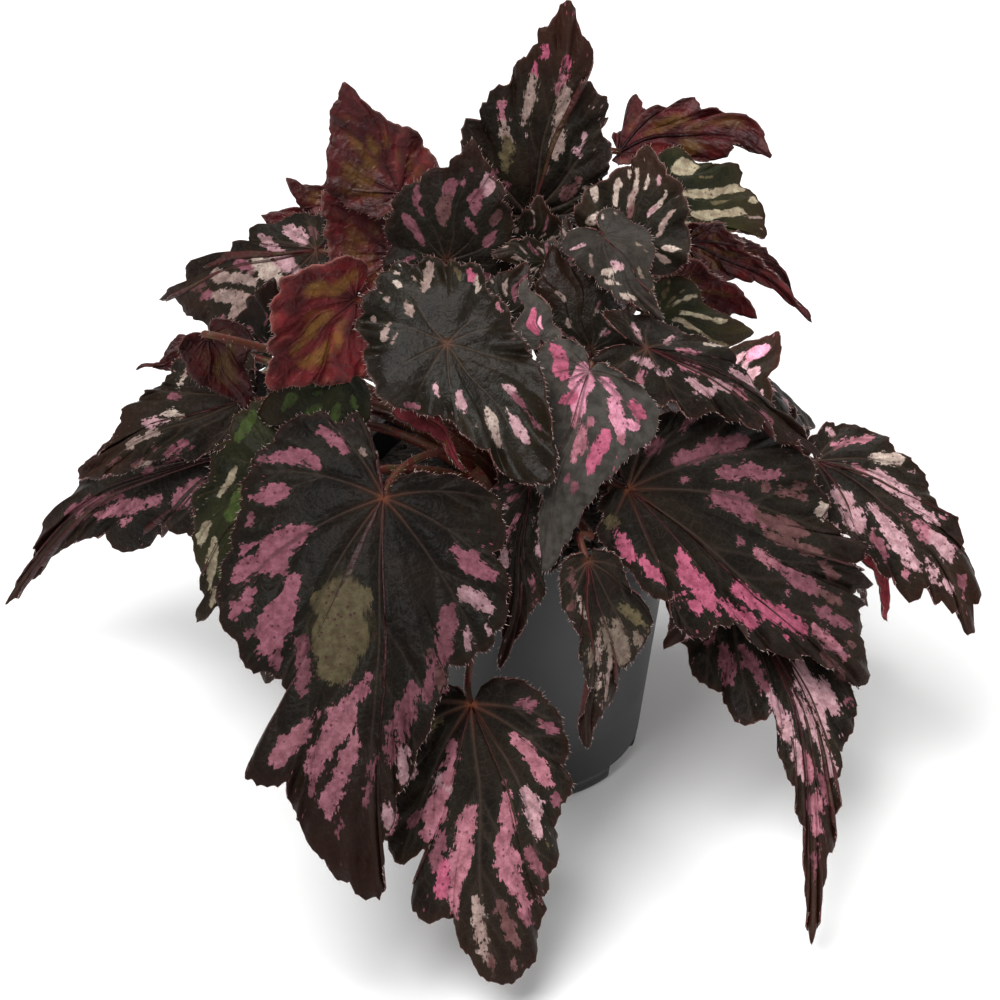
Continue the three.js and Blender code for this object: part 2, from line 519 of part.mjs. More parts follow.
    arch: 0.05, bow: 0, fold: 5, cup: 5, wave: 1.5, waves: 5 },
  { name: 'leaf_right_dark_long', finish: 'leaf_pink_splashed', outline: NARROW, wide: [0.75, 0.75],
    joint: [53, -31, 232], tip: [128, -21, 170], face: [0.1, -0.4, 0.9],
    arch: 0.1, bow: 0, fold: 20, cup: 5, wave: 2, waves: 5 },
  { name: 'leaf_bud', finish: 'leaf_pink_splashed', outline: YOUNG, wide: [1, 1],
    joint: [8, -27, 234], tip: [3, -17, 250], face: [0, -0.8, 0.6],
    arch: 0.05, bow: 0, fold: 10, cup: 5, wave: 1, waves: 4 },
  { name: 'leaf_young_dark_low', finish: 'leaf_dark', outline: YOUNG, wide: [1.3, 1.3],
    joint: [11, 25, 240], tip: [-13, 25, 246], face: [0, -0.8, 0.6],
    arch: 0.05, bow: 0, fold: 10, cup: 5, wave: 1, waves: 4 },
  { name: 'leaf_young_dark_high', finish: 'leaf_dark', outline: YOUNG, wide: [1.3, 1.3],
    joint: [18, 36, 232], tip: [22, 50, 247], face: [0, -0.8, 0.6],
    arch: 0.05, bow: 0, fold: 10, cup: 5, wave: 1, waves: 4 },
  { name: 'leaf_young_rolled', finish: 'leaf_red_back', outline: NARROW, wide: [0.6, 0.6],
    joint: [-48, -47, 215], tip: [-22, -65, 192], face: [0.2, -0.6, 0.7],
    arch: 0.1, bow: 0, fold: 30, cup: 5, wave: 1, waves: 4 },
  { name: 'leaf_centre_low', finish: 'leaf_pink_splashed', outline: WING, wide: [0.6, 0.45],
    joint: [4, -60, 183], tip: [-8, -114, 125], face: [0, -0.8, 0.6],
    arch: 0.08, bow: 0, fold: 10, cup: 5, wave: 2, waves: 5 },
  { name: 'leaf_right_under', finish: 'leaf_red_back', outline: YOUNG, wide: [1, 1],
    joint: [77, -62, 130], tip: [64, -66, 98], face: [0, -0.8, 0.6],
    arch: 0.05, bow: 0, fold: 5, cup: 5, wave: 1, waves: 4 },
  { name: 'leaf_far_right_sliver', finish: 'leaf_red_back', outline: NARROW, wide: [0.7, 0.7],
    joint: [154, -19, 128], tip: [164, -36, 90], face: [0.6, -0.6, 0.4],
    arch: 0.05, bow: 0, fold: 10, cup: 5, wave: 1, waves: 4 },
  { name: 'leaf_left_green', finish: 'leaf_green_striped', outline: WING, wide: [0.8, 0.9],
    joint: [-108, -8, 150], tip: [-143, -22, 85], face: [-0.2, -0.8, 0.6],
    arch: 0.08, bow: 0, fold: 10, cup: 5, wave: 2, waves: 5,
    over: [-76, 14, 163] },
  { name: 'leaf_left_low_dark', finish: 'leaf_dark', outline: YOUNG, wide: [1, 1],
    joint: [-103, -41, 112], tip: [-115, -44, 62], face: [-0.2, -0.8, 0.6],
    arch: 0.05, bow: 0, fold: 10, cup: 5, wave: 1, waves: 4 },
  { name: 'leaf_shadow_green', finish: 'leaf_green_striped', outline: YOUNG, wide: [1.4, 1.4],
    joint: [-76, -3, 200], tip: [-111, 8, 175], face: [0, -0.7, 0.7],
    arch: 0.05, bow: 0, fold: 5, cup: 5, wave: 1.5, waves: 5 },
  { name: 'leaf_left_brown', finish: 'leaf_red_back', outline: YOUNG, wide: [1.2, 1.2],
    joint: [-137, 20, 205], tip: [-123, 19, 170], face: [0, 0.8, -0.6],
    arch: 0.05, bow: 0, fold: 10, cup: 5, wave: 1.5, waves: 4,
    over: [-80, 28, 180], rise: 0.15, climb: 0.4, hang: 0.4 },
  { name: 'leaf_left_behind', finish: 'leaf_red_back', outline: TAILED, wide: [1, 1],
    joint: [-152, 81, 158], tip: [-177, 78, 148], face: [0, 0.8, -0.6],
    arch: 0.05, bow: 0, fold: 10, cup: 5, wave: 1, waves: 4,
    rise: 0.2, climb: 0.3 },
  { name: 'leaf_left_small_red', finish: 'leaf_red_back', outline: YOUNG, wide: [1, 1],
    joint: [-78, 104, 217], tip: [-107, 109, 232], face: [0, 0.8, -0.6],
    arch: 0.05, bow: 0, fold: 10, cup: 5, wave: 1, waves: 4 },
  { name: 'leaf_left_low_red', finish: 'leaf_red_back', outline: YOUNG, wide: [1, 1],
    joint: [-87, 103, 207], tip: [-118, 106, 217], face: [0, 0.8, -0.6],
    arch: 0.05, bow: 0, fold: 10, cup: 5, wave: 1, waves: 4 },
  { name: 'leaf_left_deep_red', finish: 'leaf_red_back', outline: BROAD, wide: [1.2, 1.2],
    joint: [-57, 56, 225], tip: [-83, 64, 249], face: [0, 0.8, -0.6],
    arch: 0.05, bow: 0, fold: 5, cup: 5, wave: 1.5, waves: 5,
    lean: [1, 0.2] },
  { name: 'leaf_left_shaded', finish: 'leaf_dark', outline: BROAD, wide: [1, 1],
    joint: [-112, 40, 150], tip: [-118, 32, 176], face: [-0.1, -0.8, 0.5],
    arch: 0.03, bow: 0, fold: 5, cup: 5, wave: 1, waves: 5,
    rise: 0.4 },
  { name: 'leaf_left_shaded_high', finish: 'leaf_dark', outline: BROAD, wide: [1, 1],
    joint: [-112, 60, 170], tip: [-112, 60, 196], face: [-0.1, -0.8, 0.5],
    arch: 0.03, bow: 0, fold: 5, cup: 5, wave: 1, waves: 5 },
  { name: 'leaf_crown_shaded', finish: 'leaf_dark', outline: BROAD, wide: [1, 1],
    joint: [4, 45, 230], tip: [10, 51, 258], face: [0, -0.8, 0.5],
    arch: 0.03, bow: 0, fold: 5, cup: 5, wave: 1, waves: 5,
    rise: 0.7 },
  { name: 'leaf_crown_shaded_low', finish: 'leaf_dark', outline: BROAD, wide: [1, 1],
    joint: [-4, 75, 212], tip: [2, 75, 182], face: [0, -0.8, 0.5],
    arch: 0.03, bow: 0, fold: 5, cup: 5, wave: 1, waves: 5,
    lean: [0.9, 0.3] },
  { name: 'leaf_centre_shaded', finish: 'leaf_dark', outline: BROAD, wide: [0.9, 0.9],
    joint: [30, -2, 212], tip: [18, 15, 238], face: [0, -0.8, 0.6],
    arch: 0.05, bow: 0, fold: 5, cup: 5, wave: 1.5, waves: 5 },
  { name: 'leaf_centre_upright', finish: 'leaf_dark', outline: BROAD, wide: [1, 1],
    joint: [-7, 7, 224], tip: [1, 20, 244], face: [0, -0.8, 0.6],
    arch: 0.05, bow: 0, fold: 5, cup: 5, wave: 1.5, waves: 5 },
  { name: 'leaf_back_right', finish: 'leaf_pink_splashed', outline: WING, wide: [0.8, 0.8],
    joint: [88, 100, 150], tip: [138, 150, 60], face: [0.5, 0.4, 0.8],
    arch: 0.08, bow: 0, fold: 8, cup: 20, wave: 3, waves: 7 },
  { name: 'leaf_back_middle', finish: 'leaf_silver_splashed', outline: BROAD, wide: [0.7, 0.5],
    joint: [25, 124, 180], tip: [45, 213, 88], face: [0.1, 0.6, 0.7],
    arch: 0.08, bow: 0, fold: 8, cup: 20, wave: 3, waves: 7 },
  { name: 'leaf_back_left', finish: 'leaf_pink_splashed', outline: WING, wide: [0.7, 0.65],
    joint: [-48, 118, 172], tip: [-72, 205, 72], face: [-0.1, 0.6, 0.7],
    arch: 0.08, bow: 0, fold: 8, cup: 20, wave: 3, waves: 7 },
  { name: 'leaf_back_far_left', finish: 'leaf_green_striped', outline: WING, wide: [0.8, 0.75],
    joint: [-98, 98, 145], tip: [-155, 150, 60], face: [-0.4, 0.5, 0.7],
    arch: 0.08, bow: 0, fold: 8, cup: 20, wave: 3, waves: 7 },
  { name: 'leaf_back_low_right', finish: 'leaf_silver_splashed', outline: WING, wide: [0.8, 0.8],
    joint: [80, 95, 120], tip: [125, 150, 30], face: [0.3, 0.6, 0.6],
    arch: 0.08, bow: 0, fold: 8, cup: 20, wave: 2.5, waves: 6 },
  { name: 'leaf_back_low_left', finish: 'leaf_pink_splashed', outline: WING, wide: [0.75, 0.75],
    joint: [-65, 100, 120], tip: [-100, 150, 28], face: [-0.3, 0.6, 0.6],
    arch: 0.08, bow: 0, fold: 8, cup: 20, wave: 2.5, waves: 6 },
  { name: 'leaf_back_low_middle', finish: 'leaf_dark', outline: BROAD, wide: [0.6, 0.6],
    joint: [5, 105, 125], tip: [10, 150, 40], face: [0, 0.7, 0.6],
    arch: 0.08, bow: 0, fold: 8, cup: 20, wave: 2.5, waves: 6 },
  { name: 'leaf_right_low_back', finish: 'leaf_pink_splashed', outline: WING, wide: [0.6, 0.6],
    joint: [118, 18, 122], tip: [165, 45, 35], face: [0.6, 0, 0.7],
    arch: 0.08, bow: 0, fold: 8, cup: 20, wave: 2.5, waves: 6 },
];

// ---------------------------------------------------------------- one blade
function halfOutline(leaf, side) {
  const chosen = leaf.outline.left ? leaf.outline : null;
  const list = chosen ? (side > 0 ? chosen.left : chosen.right) : leaf.outline;
  const width = side > 0 ? leaf.wide[0] : leaf.wide[1];
  const points = [[1, 0]];
  const sign = chosen ? 1 : side;
  for (const [along, across] of list) points.push([along, across * sign * width]);
  const reach = [0];
  for (let i = 1; i < points.length; i += 1) {
    const step = Math.hypot(points[i][0] - points[i - 1][0], points[i][1] - points[i - 1][1]);
    reach.push(reach[i - 1] + step);
  }
  return { points, reach: reach.map((value) => value / reach[reach.length - 1]), side };
}

// The margin point at share u of a half outline; each side between two points bulges outwards.
function marginAt(half, u) {
  let i = 1;
  while (i < half.reach.length - 1 && half.reach[i] < u) i += 1;
  const k = (u - half.reach[i - 1]) / (half.reach[i] - half.reach[i - 1]);
  const [ax, ay] = half.points[i - 1];
  const [bx, by] = half.points[i];
  const bulge = 4 * LOBE_BULGE * k * (1 - k) * half.side;
  return [mix(ax, bx, k) + (by - ay) * bulge, mix(ay, by, k) - (bx - ax) * bulge];
}

function leafFrame(leaf) {
  const joint = new THREE.Vector3(...leaf.joint);
  const along = new THREE.Vector3(...leaf.tip).sub(joint);
  const length = along.length();
  along.normalize();
  const up = new THREE.Vector3(...leaf.face);
  up.addScaledVector(along, -up.dot(along)).normalize();
  return { joint, along, up, across: new THREE.Vector3().crossVectors(up, along), length };
}

function bladePoint(leaf, frame, halves, t, s) {
  const half = t >= 0 ? halves[0] : halves[1];
  const [ex, ey] = marginAt(half, Math.abs(t));
  const { length } = frame;
  const share = s * ex;
  const flat = s * ey * length;
  const turn = rad(leaf.fold + (leaf.cup * Math.abs(flat)) / length);
  const rise = 4 * share * (1 - share);
  const wave = leaf.wave * s * s * Math.sin(Math.PI * leaf.waves * t);
  const x = share * length;
  const y = flat * Math.cos(turn) + leaf.bow * length * Math.max(0, rise);
  const z = -Math.abs(flat) * Math.sin(turn) + leaf.arch * length * rise
    + wave * Math.min(1, Math.abs(t) * 4);
  return frame.joint.clone()
    .addScaledVector(frame.along, x)
    .addScaledVector(frame.across, y)
    .addScaledVector(frame.up, z);
}

function spokes(halves) {
  const shares = [];
  for (const half of halves) {
    const list = [];
    for (let i = 1; i < half.reach.length; i += 1) {
      const side = Math.hypot(
        half.points[i][0] - half.points[i - 1][0],
        half.points[i][1] - half.points[i - 1][1],
      );
      if (side > LONG_SIDE) list.push((half.reach[i] + half.reach[i - 1]) / 2);
      list.push(half.reach[i]);
    }
    shares.push(list);
  }
  return [...shares[1].map((u) => -u).reverse(), 0, ...shares[0]];
}

function blade(leaf) {
  const frame = leafFrame(leaf);
  const halves = [halfOutline(leaf, 1), halfOutline(leaf, -1)];
  const across = spokes(halves);
  if (leaf.closed) across.pop();
  const rings = frame.length > LARGE_BLADE ? LARGE_RINGS : SMALL_RINGS;
  const top = [frame.joint.clone()];
  for (const t of across) for (const s of rings) top.push(bladePoint(leaf, frame, halves, t, s));
  const at = (i, ring) => 1 + i * rings.length + ring;
  const sheet = [];
  const gaps = across.length - (leaf.closed ? 0 : 1);
  for (let i = 0; i < gaps; i += 1) {
    const next = (i + 1) % across.length;
    sheet.push([0, at(i, 0), at(next, 0)]);
    for (let ring = 0; ring + 1 < rings.length; ring += 1) {
      sheet.push([at(i, ring), at(i, ring + 1), at(next, ring + 1)]);
      sheet.push([at(i, ring), at(next, ring + 1), at(next, ring)]);
    }
  }
  const normals = top.map(() => new THREE.Vector3());
  for (const [a, b, c] of sheet) {
    const cross = new THREE.Vector3().crossVectors(
      top[b].clone().sub(top[a]),
      top[c].clone().sub(top[a]),
    );
    for (const corner of [a, b, c]) normals[corner].add(cross);
  }
  const lowered = (point, i) => point.clone().addScaledVector(normals[i].normalize(), -BLADE_THICK);
  const under = top.map(lowered);
  const count = top.length;
  const faces = [];
  for (const [a, b, c] of sheet) faces.push(a, b, c, count + a, count + c, count + b);
  const edge = across.map((t, i) => at(i, rings.length - 1));
  if (!leaf.closed) {
    for (let ring = rings.length - 2; ring >= 0; ring -= 1) edge.push(at(across.length - 1, ring));
    edge.push(0);
    for (let ring = 0; ring + 1 < rings.length; ring += 1) edge.push(at(0, ring));
  }
  for (let i = 0; i < edge.length; i += 1) {
    const a = edge[i];
    const b = edge[(i + 1) % edge.length];
    faces.push(a, count + a, count + b, a, count + b, b);
  }
  const vertices = [...top, ...under].flatMap((point) => [point.x, point.y, point.z]);
  return outward({ vertices, faces });
}

// ---------------------------------------------------------------- rhizome and stalks
function rhizome(grow) {
  const ball = new THREE.IcosahedronGeometry(1, 2);
  const place = ball.getAttribute('position');
  const keys = new Map();
  const vertices = [];
  const faces = [];
  for (let i = 0; i < place.count; i += 1) {
    const unit = new THREE.Vector3(place.getX(i), place.getY(i), place.getZ(i));
    const key = unit.toArray().map((value) => Math.round(value * 1e4)).join(',');
    if (!keys.has(key)) {
      keys.set(key, vertices.length / 3);
      const lump = 1 + RHIZOME_LUMP * Math.sin(5 * unit.x + 2) * Math.cos(4 * unit.y);
      vertices.push(
        unit.x * (RHIZOME_RADII[0] * lump + grow),
        unit.y * (RHIZOME_RADII[1] * lump + grow),
        unit.z * (RHIZOME_RADII[2] * lump + grow) + RHIZOME_HEIGHT,
      );
    }
    faces.push(keys.get(key));
  }
  const body = outward({ vertices, faces });
  return toManifold(body.vertices, body.faces);
}

// The line a stalk follows: out of the rhizome, up, over and into the back of its blade.
function stalkLine(leaf) {
  const frame = leafFrame(leaf);
  const root = leaf.root ?? [leaf.joint[0] * ROOT_SPREAD[0], leaf.joint[1] * ROOT_SPREAD[1]];
  const held = root.map((value, k) => Math.max(-ROOT_LIMIT[k], Math.min(ROOT_LIMIT[k], value)));
  const start = new THREE.Vector3(held[0], held[1], RHIZOME_HEIGHT + ROOT_SINK);
  const droop = Math.abs(Math.sin(rad(leaf.fold))) + 4 * Math.abs(leaf.arch);
  const rest = BLADE_THICK + STALK_REST + STALK_TOP_RADIUS * droop;
  const end = frame.joint.clone().addScaledVector(frame.up, -rest);
  const reach = end.distanceTo(start);
  const lean = leaf.lean ?? [0.6, 0.8];
  const arrive = frame.along.clone().multiplyScalar(lean[0]);
  arrive.addScaledVector(frame.up, lean[1]).normalize();
  const away = Math.hypot(end.x, end.y);
  if (leaf.over || (end.z < OVER_RIM && away > POT_TOP_RADIUS)) {
    const share = (POT_TOP_RADIUS + RIM_CLEARANCE) / away;
    const over = new THREE.Vector3(...(leaf.over ?? [end.x * share, end.y * share, OVER_RIM]));
    const risen = start.clone().lerp(over, 0.4).add(new THREE.Vector3(0, 0, RIM_CLEARANCE));
    const near = end.clone().addScaledVector(arrive, -STALK_HOOK);
    return new THREE.CatmullRomCurve3([start, risen, over, near, end]);
  }
  const rise = leaf.rise ?? 0.75;
  const out = new THREE.Vector3(end.x - start.x, end.y - start.y, 0).normalize();
  const leave = out.multiplyScalar(1 - rise).add(new THREE.Vector3(0, 0, rise)).normalize();
  return new THREE.CubicBezierCurve3(
    start,
    start.clone().addScaledVector(leave, reach * (leaf.climb ?? 0.45)),
    end.clone().addScaledVector(arrive, -reach * (leaf.hang ?? 0.3)),
    end,
  );
}

function stalk(leaf) {
  const line = stalkLine(leaf);
  const { up } = leafFrame(leaf);
  const vertices = [];
  const faces = [];
  let side = new THREE.Vector3(1, 0.2, 0.1).normalize();
  for (let i = 0; i <= STALK_STEPS; i += 1) {
    const u = i / STALK_STEPS;
    const centre = line.getPoint(u);
    const ahead = line.getTangent(u);
    side = side.addScaledVector(ahead, -side.dot(ahead)).normalize();
    const other = new THREE.Vector3().crossVectors(ahead, side);
    const radius = mix(STALK_ROOT_RADIUS, STALK_TOP_RADIUS, u);
    for (let k = 0; k < STALK_SIDES; k += 1) {
      const angle = (2 * Math.PI * k) / STALK_SIDES;
      const rim = centre.clone()
        .addScaledVector(side, radius * Math.cos(angle))
        .addScaledVector(other, radius * Math.sin(angle));
      if (i === STALK_STEPS) {
        const high = rim.clone().sub(centre).dot(up) / ahead.dot(up);
        rim.addScaledVector(ahead, -high);
      }
      vertices.push(rim.x, rim.y, rim.z);
    }
  }
  const at = (i, k) => i * STALK_SIDES + (k % STALK_SIDES);
  for (let i = 0; i < STALK_STEPS; i += 1) {
    for (let k = 0; k < STALK_SIDES; k += 1) {
      faces.push(at(i, k), at(i, k + 1), at(i + 1, k + 1), at(i, k), at(i + 1, k + 1), at(i + 1, k));
    }
  }
  for (let k = 1; k + 1 < STALK_SIDES; k += 1) {
    faces.push(at(0, 0), at(0, k + 1), at(0, k));
    faces.push(at(STALK_STEPS, 0), at(STALK_STEPS, k), at(STALK_STEPS, k + 1));
  }
  const body = outward({ vertices, faces });
  return toManifold(body.vertices, body.faces);
}

// ---------------------------------------------------------------- the part
const plant = new THREE.Group();
plant.name = 'potted_rex_begonia';
plant.add(fromManifold('pot', potBody(), FINISHES.pot_plastic));
plant.add(fromManifold('soil', soilBody(rhizome(GAP)), FINISHES.soil));
let crown = rhizome(0);
for (const leaf of LEAVES) crown = crown.add(stalk(leaf));
plant.add(fromManifold('rhizome_with_stalks', crown, FINISHES.stalk));
for (const leaf of LEAVES) {
  const { vertices, faces } = blade(leaf);
  plant.add(solid(leaf.name, vertices, faces, FINISHES[leaf.finish]));
}

export default plant;
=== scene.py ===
"""A potted rex begonia dressed for rendering: splashed blades, hairy stalks, soil and nursery pot.

Every blade is grown on its own joint, tip and outline, the same as its plain solid, with finer
margins, sunken veins and puckered tissue. Lengths are in millimetres until a mesh is written.
"""

import logging
import math
from dataclasses import dataclass, field
from enum import Enum
from typing import Iterable, Optional, Sequence, Union

import bmesh
import bpy
import numpy as np
from mathutils import Matrix, Vector

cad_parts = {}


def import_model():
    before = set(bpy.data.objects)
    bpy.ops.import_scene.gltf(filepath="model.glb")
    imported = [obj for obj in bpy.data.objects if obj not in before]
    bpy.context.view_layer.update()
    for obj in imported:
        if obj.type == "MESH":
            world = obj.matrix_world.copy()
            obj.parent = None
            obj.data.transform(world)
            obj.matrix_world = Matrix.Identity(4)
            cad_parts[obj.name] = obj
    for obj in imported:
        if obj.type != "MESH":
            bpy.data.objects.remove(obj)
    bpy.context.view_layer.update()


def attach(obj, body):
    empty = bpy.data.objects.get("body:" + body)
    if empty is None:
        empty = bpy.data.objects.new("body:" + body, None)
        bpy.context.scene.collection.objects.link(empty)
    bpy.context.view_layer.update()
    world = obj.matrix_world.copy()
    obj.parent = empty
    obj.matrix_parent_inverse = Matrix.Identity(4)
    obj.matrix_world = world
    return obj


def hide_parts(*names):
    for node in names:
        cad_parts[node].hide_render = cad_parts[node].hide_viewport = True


log = logging.getLogger("begonia")
MM = 0.001
Array = np.ndarray
BMesh = bmesh.types.BMesh
Material = bpy.types.Material
Pair = tuple[float, float]
Triple = tuple[float, float, float]
Colour = tuple[float, float, float, float]


def srgb(code: str) -> Colour:
    """Turns a six digit hex colour into the linear colour that the shader takes."""
    parts = [int(code[i:i + 2], 16) / 255 for i in (0, 2, 4)]
    linear = [p / 12.92 if p <= 0.04045 else ((p + 0.055) / 1.055) ** 2.4 for p in parts]
    return (linear[0], linear[1], linear[2], 1.0)


def ease(value: Array, low: float, high: float) -> Array:
    """Rises smoothly from 0 at low to 1 at high."""
    share = np.clip((value - low) / (high - low), 0, 1)
    return share * share * (3 - 2 * share)


class Slot(Enum):
    """The record's material slots."""

    POT = "pot_plastic"
    SOIL = "soil"
    STALK = "stalk"
    PINK = "leaf_pink_splashed"
    SILVER = "leaf_silver_splashed"
    DARK = "leaf_dark"
    GREEN = "leaf_green_striped"
    RED = "leaf_red_back"


class Tone(Enum):
    """Colours of the splashes between the veins."""

    HOT = "b25c76"
    PINK = "a86e7a"
    ROSE = "80505a"
    DUSTY = "664746"
    PALE = "ba949a"
    BLUSH = "d490a6"
    SILVER = "9c8880"
    WHITE = "bcaca0"
    CREAM = "aaa086"
    OLIVE = "60583f"
    ASH = "7a6d60"
    MOSS = "2b2a1a"
    LEAFY = "46582a"
    MAUVE = "9d6170"
    CRIMSON = "6c2a30"


(HOT, PINK, ROSE, DUSTY, PALE, BLUSH, SILVER, WHITE,
 CREAM, OLIVE, ASH, MOSS, LEAFY, MAUVE, CRIMSON) = Tone


# ---------------- outlines
@dataclass(frozen=True)
class Outline:
    """A blade's margin from beside the tip to the joint, in hundredths of the blade's length.

    Attributes:
        left: (along, across) points of the half whose across is above zero.
        right: those of the half whose across is below zero.
    """

    left: tuple[Pair, ...]
    right: tuple[Pair, ...]

    @classmethod
    def symmetric(cls, half: tuple[Pair, ...]) -> "Outline":
        """Makes an outline whose halves mirror each other."""
        return cls(left=half, right=tuple((along, -across) for along, across in half))


WING = Outline.symmetric((
    (84, 5), (74, 12), (70, 10), (60, 23), (50, 24), (38, 38), (27, 36), (12, 45), (0, 41), (-16, 41),
    (-27, 28), (-24, 12), (-10, 3),
))
BROAD = Outline.symmetric((
    (87, 10), (80, 16), (76, 15), (66, 31), (58, 32), (42, 46), (30, 45), (12, 53), (0, 48), (-20, 45),
    (-31, 29), (-26, 12), (-10, 3),
))
NARROW = Outline.symmetric((
    (82, 3.5), (68, 10), (62, 8), (50, 19), (42, 17), (30, 27), (19, 25), (4, 32), (-10, 27), (-18, 16),
    (-10, 3),
))
TAILED = Outline.symmetric((
    (86, 2), (70, 3), (56, 6), (46, 13), (36, 20), (22, 24), (8, 29), (-6, 24), (-14, 12), (-9, 3),
))
YOUNG = Outline.symmetric((
    (78, 10), (60, 17), (52, 18), (32, 31), (16, 32), (-5, 30), (-16, 17), (-10, 4),
))
FRONT_LEFT = Outline(
    left=(
        (93, 1.2), (86, 1.5), (74, 5.5), (62, 10.5), (51, 14), (42, 16.5), (38.5, 24), (30, 30),
        (20, 31), (14, 28.5), (8, 31), (0, 29.5), (-4, 23.5), (-6, 14), (-5, 3.5),
    ),
    right=(
        (95, -8.5), (88, -15), (78, -19.5), (71, -22), (70, -33), (62.5, -30), (54, -20.5), (50, -23),
        (45, -25), (41.5, -35), (35, -39), (28.5, -43.5), (20, -43), (13, -39.5), (3, -36.5),
        (-7, -34.5), (-13, -30), (-19.5, -24), (-22.5, -18), (-19, -13), (-21.5, -7.5), (-15, -3.5),
        (-6, -2),
    ),
)
FRONT_LOW = Outline(
    left=(
        (97, 12), (82, 19), (74, 23.5), (72, 20), (60, 27), (50, 30), (46, 27), (30, 34), (25, 31),
        (10, 34), (0, 28), (-8, 17), (-7, 5),
    ),
    right=(
        (91, -7), (74, -11), (74, -25), (56, -21), (46, -17), (54, -29), (39, -37), (28, -31),
        (13, -26), (-1, -20), (-8, -12), (-5, -3),
    ),
)
RIGHT_LARGE = Outline(
    left=(
        (95, 8), (87, 11), (85, 19), (79, 21), (83, 28), (72, 27), (75, 36), (65, 34), (58, 36),
        (55, 42), (47, 43), (40, 49), (29, 46), (16, 42), (5, 35), (-4, 24), (-8, 12), (-6, 3),
    ),
    right=(
        (89, -1.5), (77, -5), (68, -10), (60, -12), (52, -10), (46, -14), (43, -22), (38, -23),
        (30, -19), (23, -22), (14, -20), (5, -19), (-3, -12), (-5, -3),
    ),
)
UPPER_RIGHT_RED = Outline(
    left=(
        (80, 3), (76, 6), (72, 13), (61, 17), (47, 16), (27, 14), (14, 13), (2, 12), (-4, 5),
    ),
    right=(
        (95, -15), (90, -17), (77, -15), (68, -18), (56, -17), (47, -26), (33, -19), (18, -20),
        (14, -28), (8, -31), (4, -18), (-5, -8),
    ),
)
RIGHT_GREEN = Outline(
    left=(
        (99, 10), (95, 22), (87, 30), (75, 37), (68, 49), (59, 55), (46, 49), (35, 47), (24, 50),
        (10, 45), (-2, 32), (-8, 21), (-8, 5),
    ),
    right=(
        (81, -2), (75, -4), (64, -11), (48, -17), (32, -20), (16, -26), (-2, -23), (-9, -13), (-6, -3),
    ),
)
RIGHT_HANGING = Outline(
    left=(
        (92, 1.5), (86, 2), (79, 3.5), (74, 6.5), (68, 5), (65, 8), (59, 6), (55, 9), (50, 8.5),
        (46, 13), (38, 17), (31, 17), (22, 21), (10, 22), (0, 20), (-8, 12), (-5, 3),
    ),
    right=(
        (92, -1.5), (83, -2), (74, -2.5), (70, -2.5), (66, -4.5), (59, -3.5), (52, -6.5), (46, -8),
        (43, -6), (36, -7), (39, -13.5), (34, -19), (27, -17), (26, -22), (15, -22), (3, -18),
        (-6, -12), (-5, -3),
    ),
)
FAR_RIGHT = Outline(
    left=(
        (90, 10), (84, 14.5), (77, 15), (69, 13), (62, 19.5), (52, 16), (44, 21), (36, 27.5),
        (28, 27.5), (21, 25.5), (10, 30), (0, 26), (-8, 16), (-7, 4),
    ),
    right=(
        (93, -1), (87, -2.5), (81, -9), (73, -12), (70, -20.5), (58, -20), (48, -23), (40, -18),
        (33, -19), (22, -23), (10, -22), (0, -15), (-5, -4),
    ),
)
FRONT_SMALL = Outline(
    left=(
        (88, 3), (78, 9), (74, 17), (65, 13), (56, 22), (47, 30), (35, 35), (20, 25), (8, 20), (-4, 12),
        (-5, 3),
    ),
    right=(
        (93, -3), (76, -2), (66, 0), (54, -6), (38, -5), (26, -11), (12, -14), (0, -12), (-5, -3),
    ),
)
CENTRE_FOLDED = Outline(
    left=(
        (88, 7), (76, 12), (64, 18), (51, 24), (35, 33), (26, 42), (14, 42), (6, 36), (0, 22), (-4, 12),
        (-5, 3),
    ),
    right=(
        (92, -4), (79, -7), (65, -6), (52, -12), (40, -16), (30, -17), (25, -27), (13, -33), (0, -34),
        (-9, -25), (-12, -12), (-6, -3),
    ),
)
CENTRE_DARK = Outline(
    left=(
        (92, 10), (77, 18), (60, 24), (46, 30), (29, 33), (14, 38), (0, 40), (-14, 38), (-30, 36),
        (-38, 26),
    ),
    right=(
        (92, -11), (78, -17), (66, -18), (54, -25), (40, -26), (31, -29), (20, -38), (8, -45),
        (-4, -48), (-17, -44), (-29, -40), (-42, -34), (-48, -22), (-53, -10), (-57, 2), (-52, 12),
        (-48, 20), (-38, 26),
    ),
)
TOP_UPRIGHT = Outline(
    left=(
        (92, 5), (84, 13), (78, 12), (71, 19), (60, 21), (49, 30), (40, 29), (38, 35), (24, 34),
        (14, 28), (0, 22), (-8, 12), (-6, 3),
    ),
    right=(
        (91, -4), (83, -10), (74, -13), (65, -9), (62, -20), (51, -26), (46, -24), (37, -32), (24, -31),
        (10, -28), (-2, -20), (-8, -10), (-5, -3),
    ),
)
TOP_LEFT_RED = Outline(
    left=(
        (85, 2), (70, 7), (58, 14), (50, 24), (44, 33), (28, 38), (8, 50), (-6, 40), (-15, 22), (-8, 4),
    ),
    right=(
        (89, -13), (76, -27), (60, -40), (45, -46), (32, -52), (16, -48), (0, -38), (-12, -22),
        (-8, -4),
    ),
)
LEFT_UPPER = Outline(
    left=(
        (86, 1), (79, 12), (70, 18), (66, 26), (52, 29), (46, 27), (34, 30), (20, 28), (5, 26),
        (-8, 16), (-6, 4),
    ),
    right=(
        (88, -5), (81, -5), (75, -9), (67, -11), (63, -4), (52, -9), (42, -13), (37, -11), (25, -21),
        (9, -24), (-4, -18), (-6, -5),
    ),
)
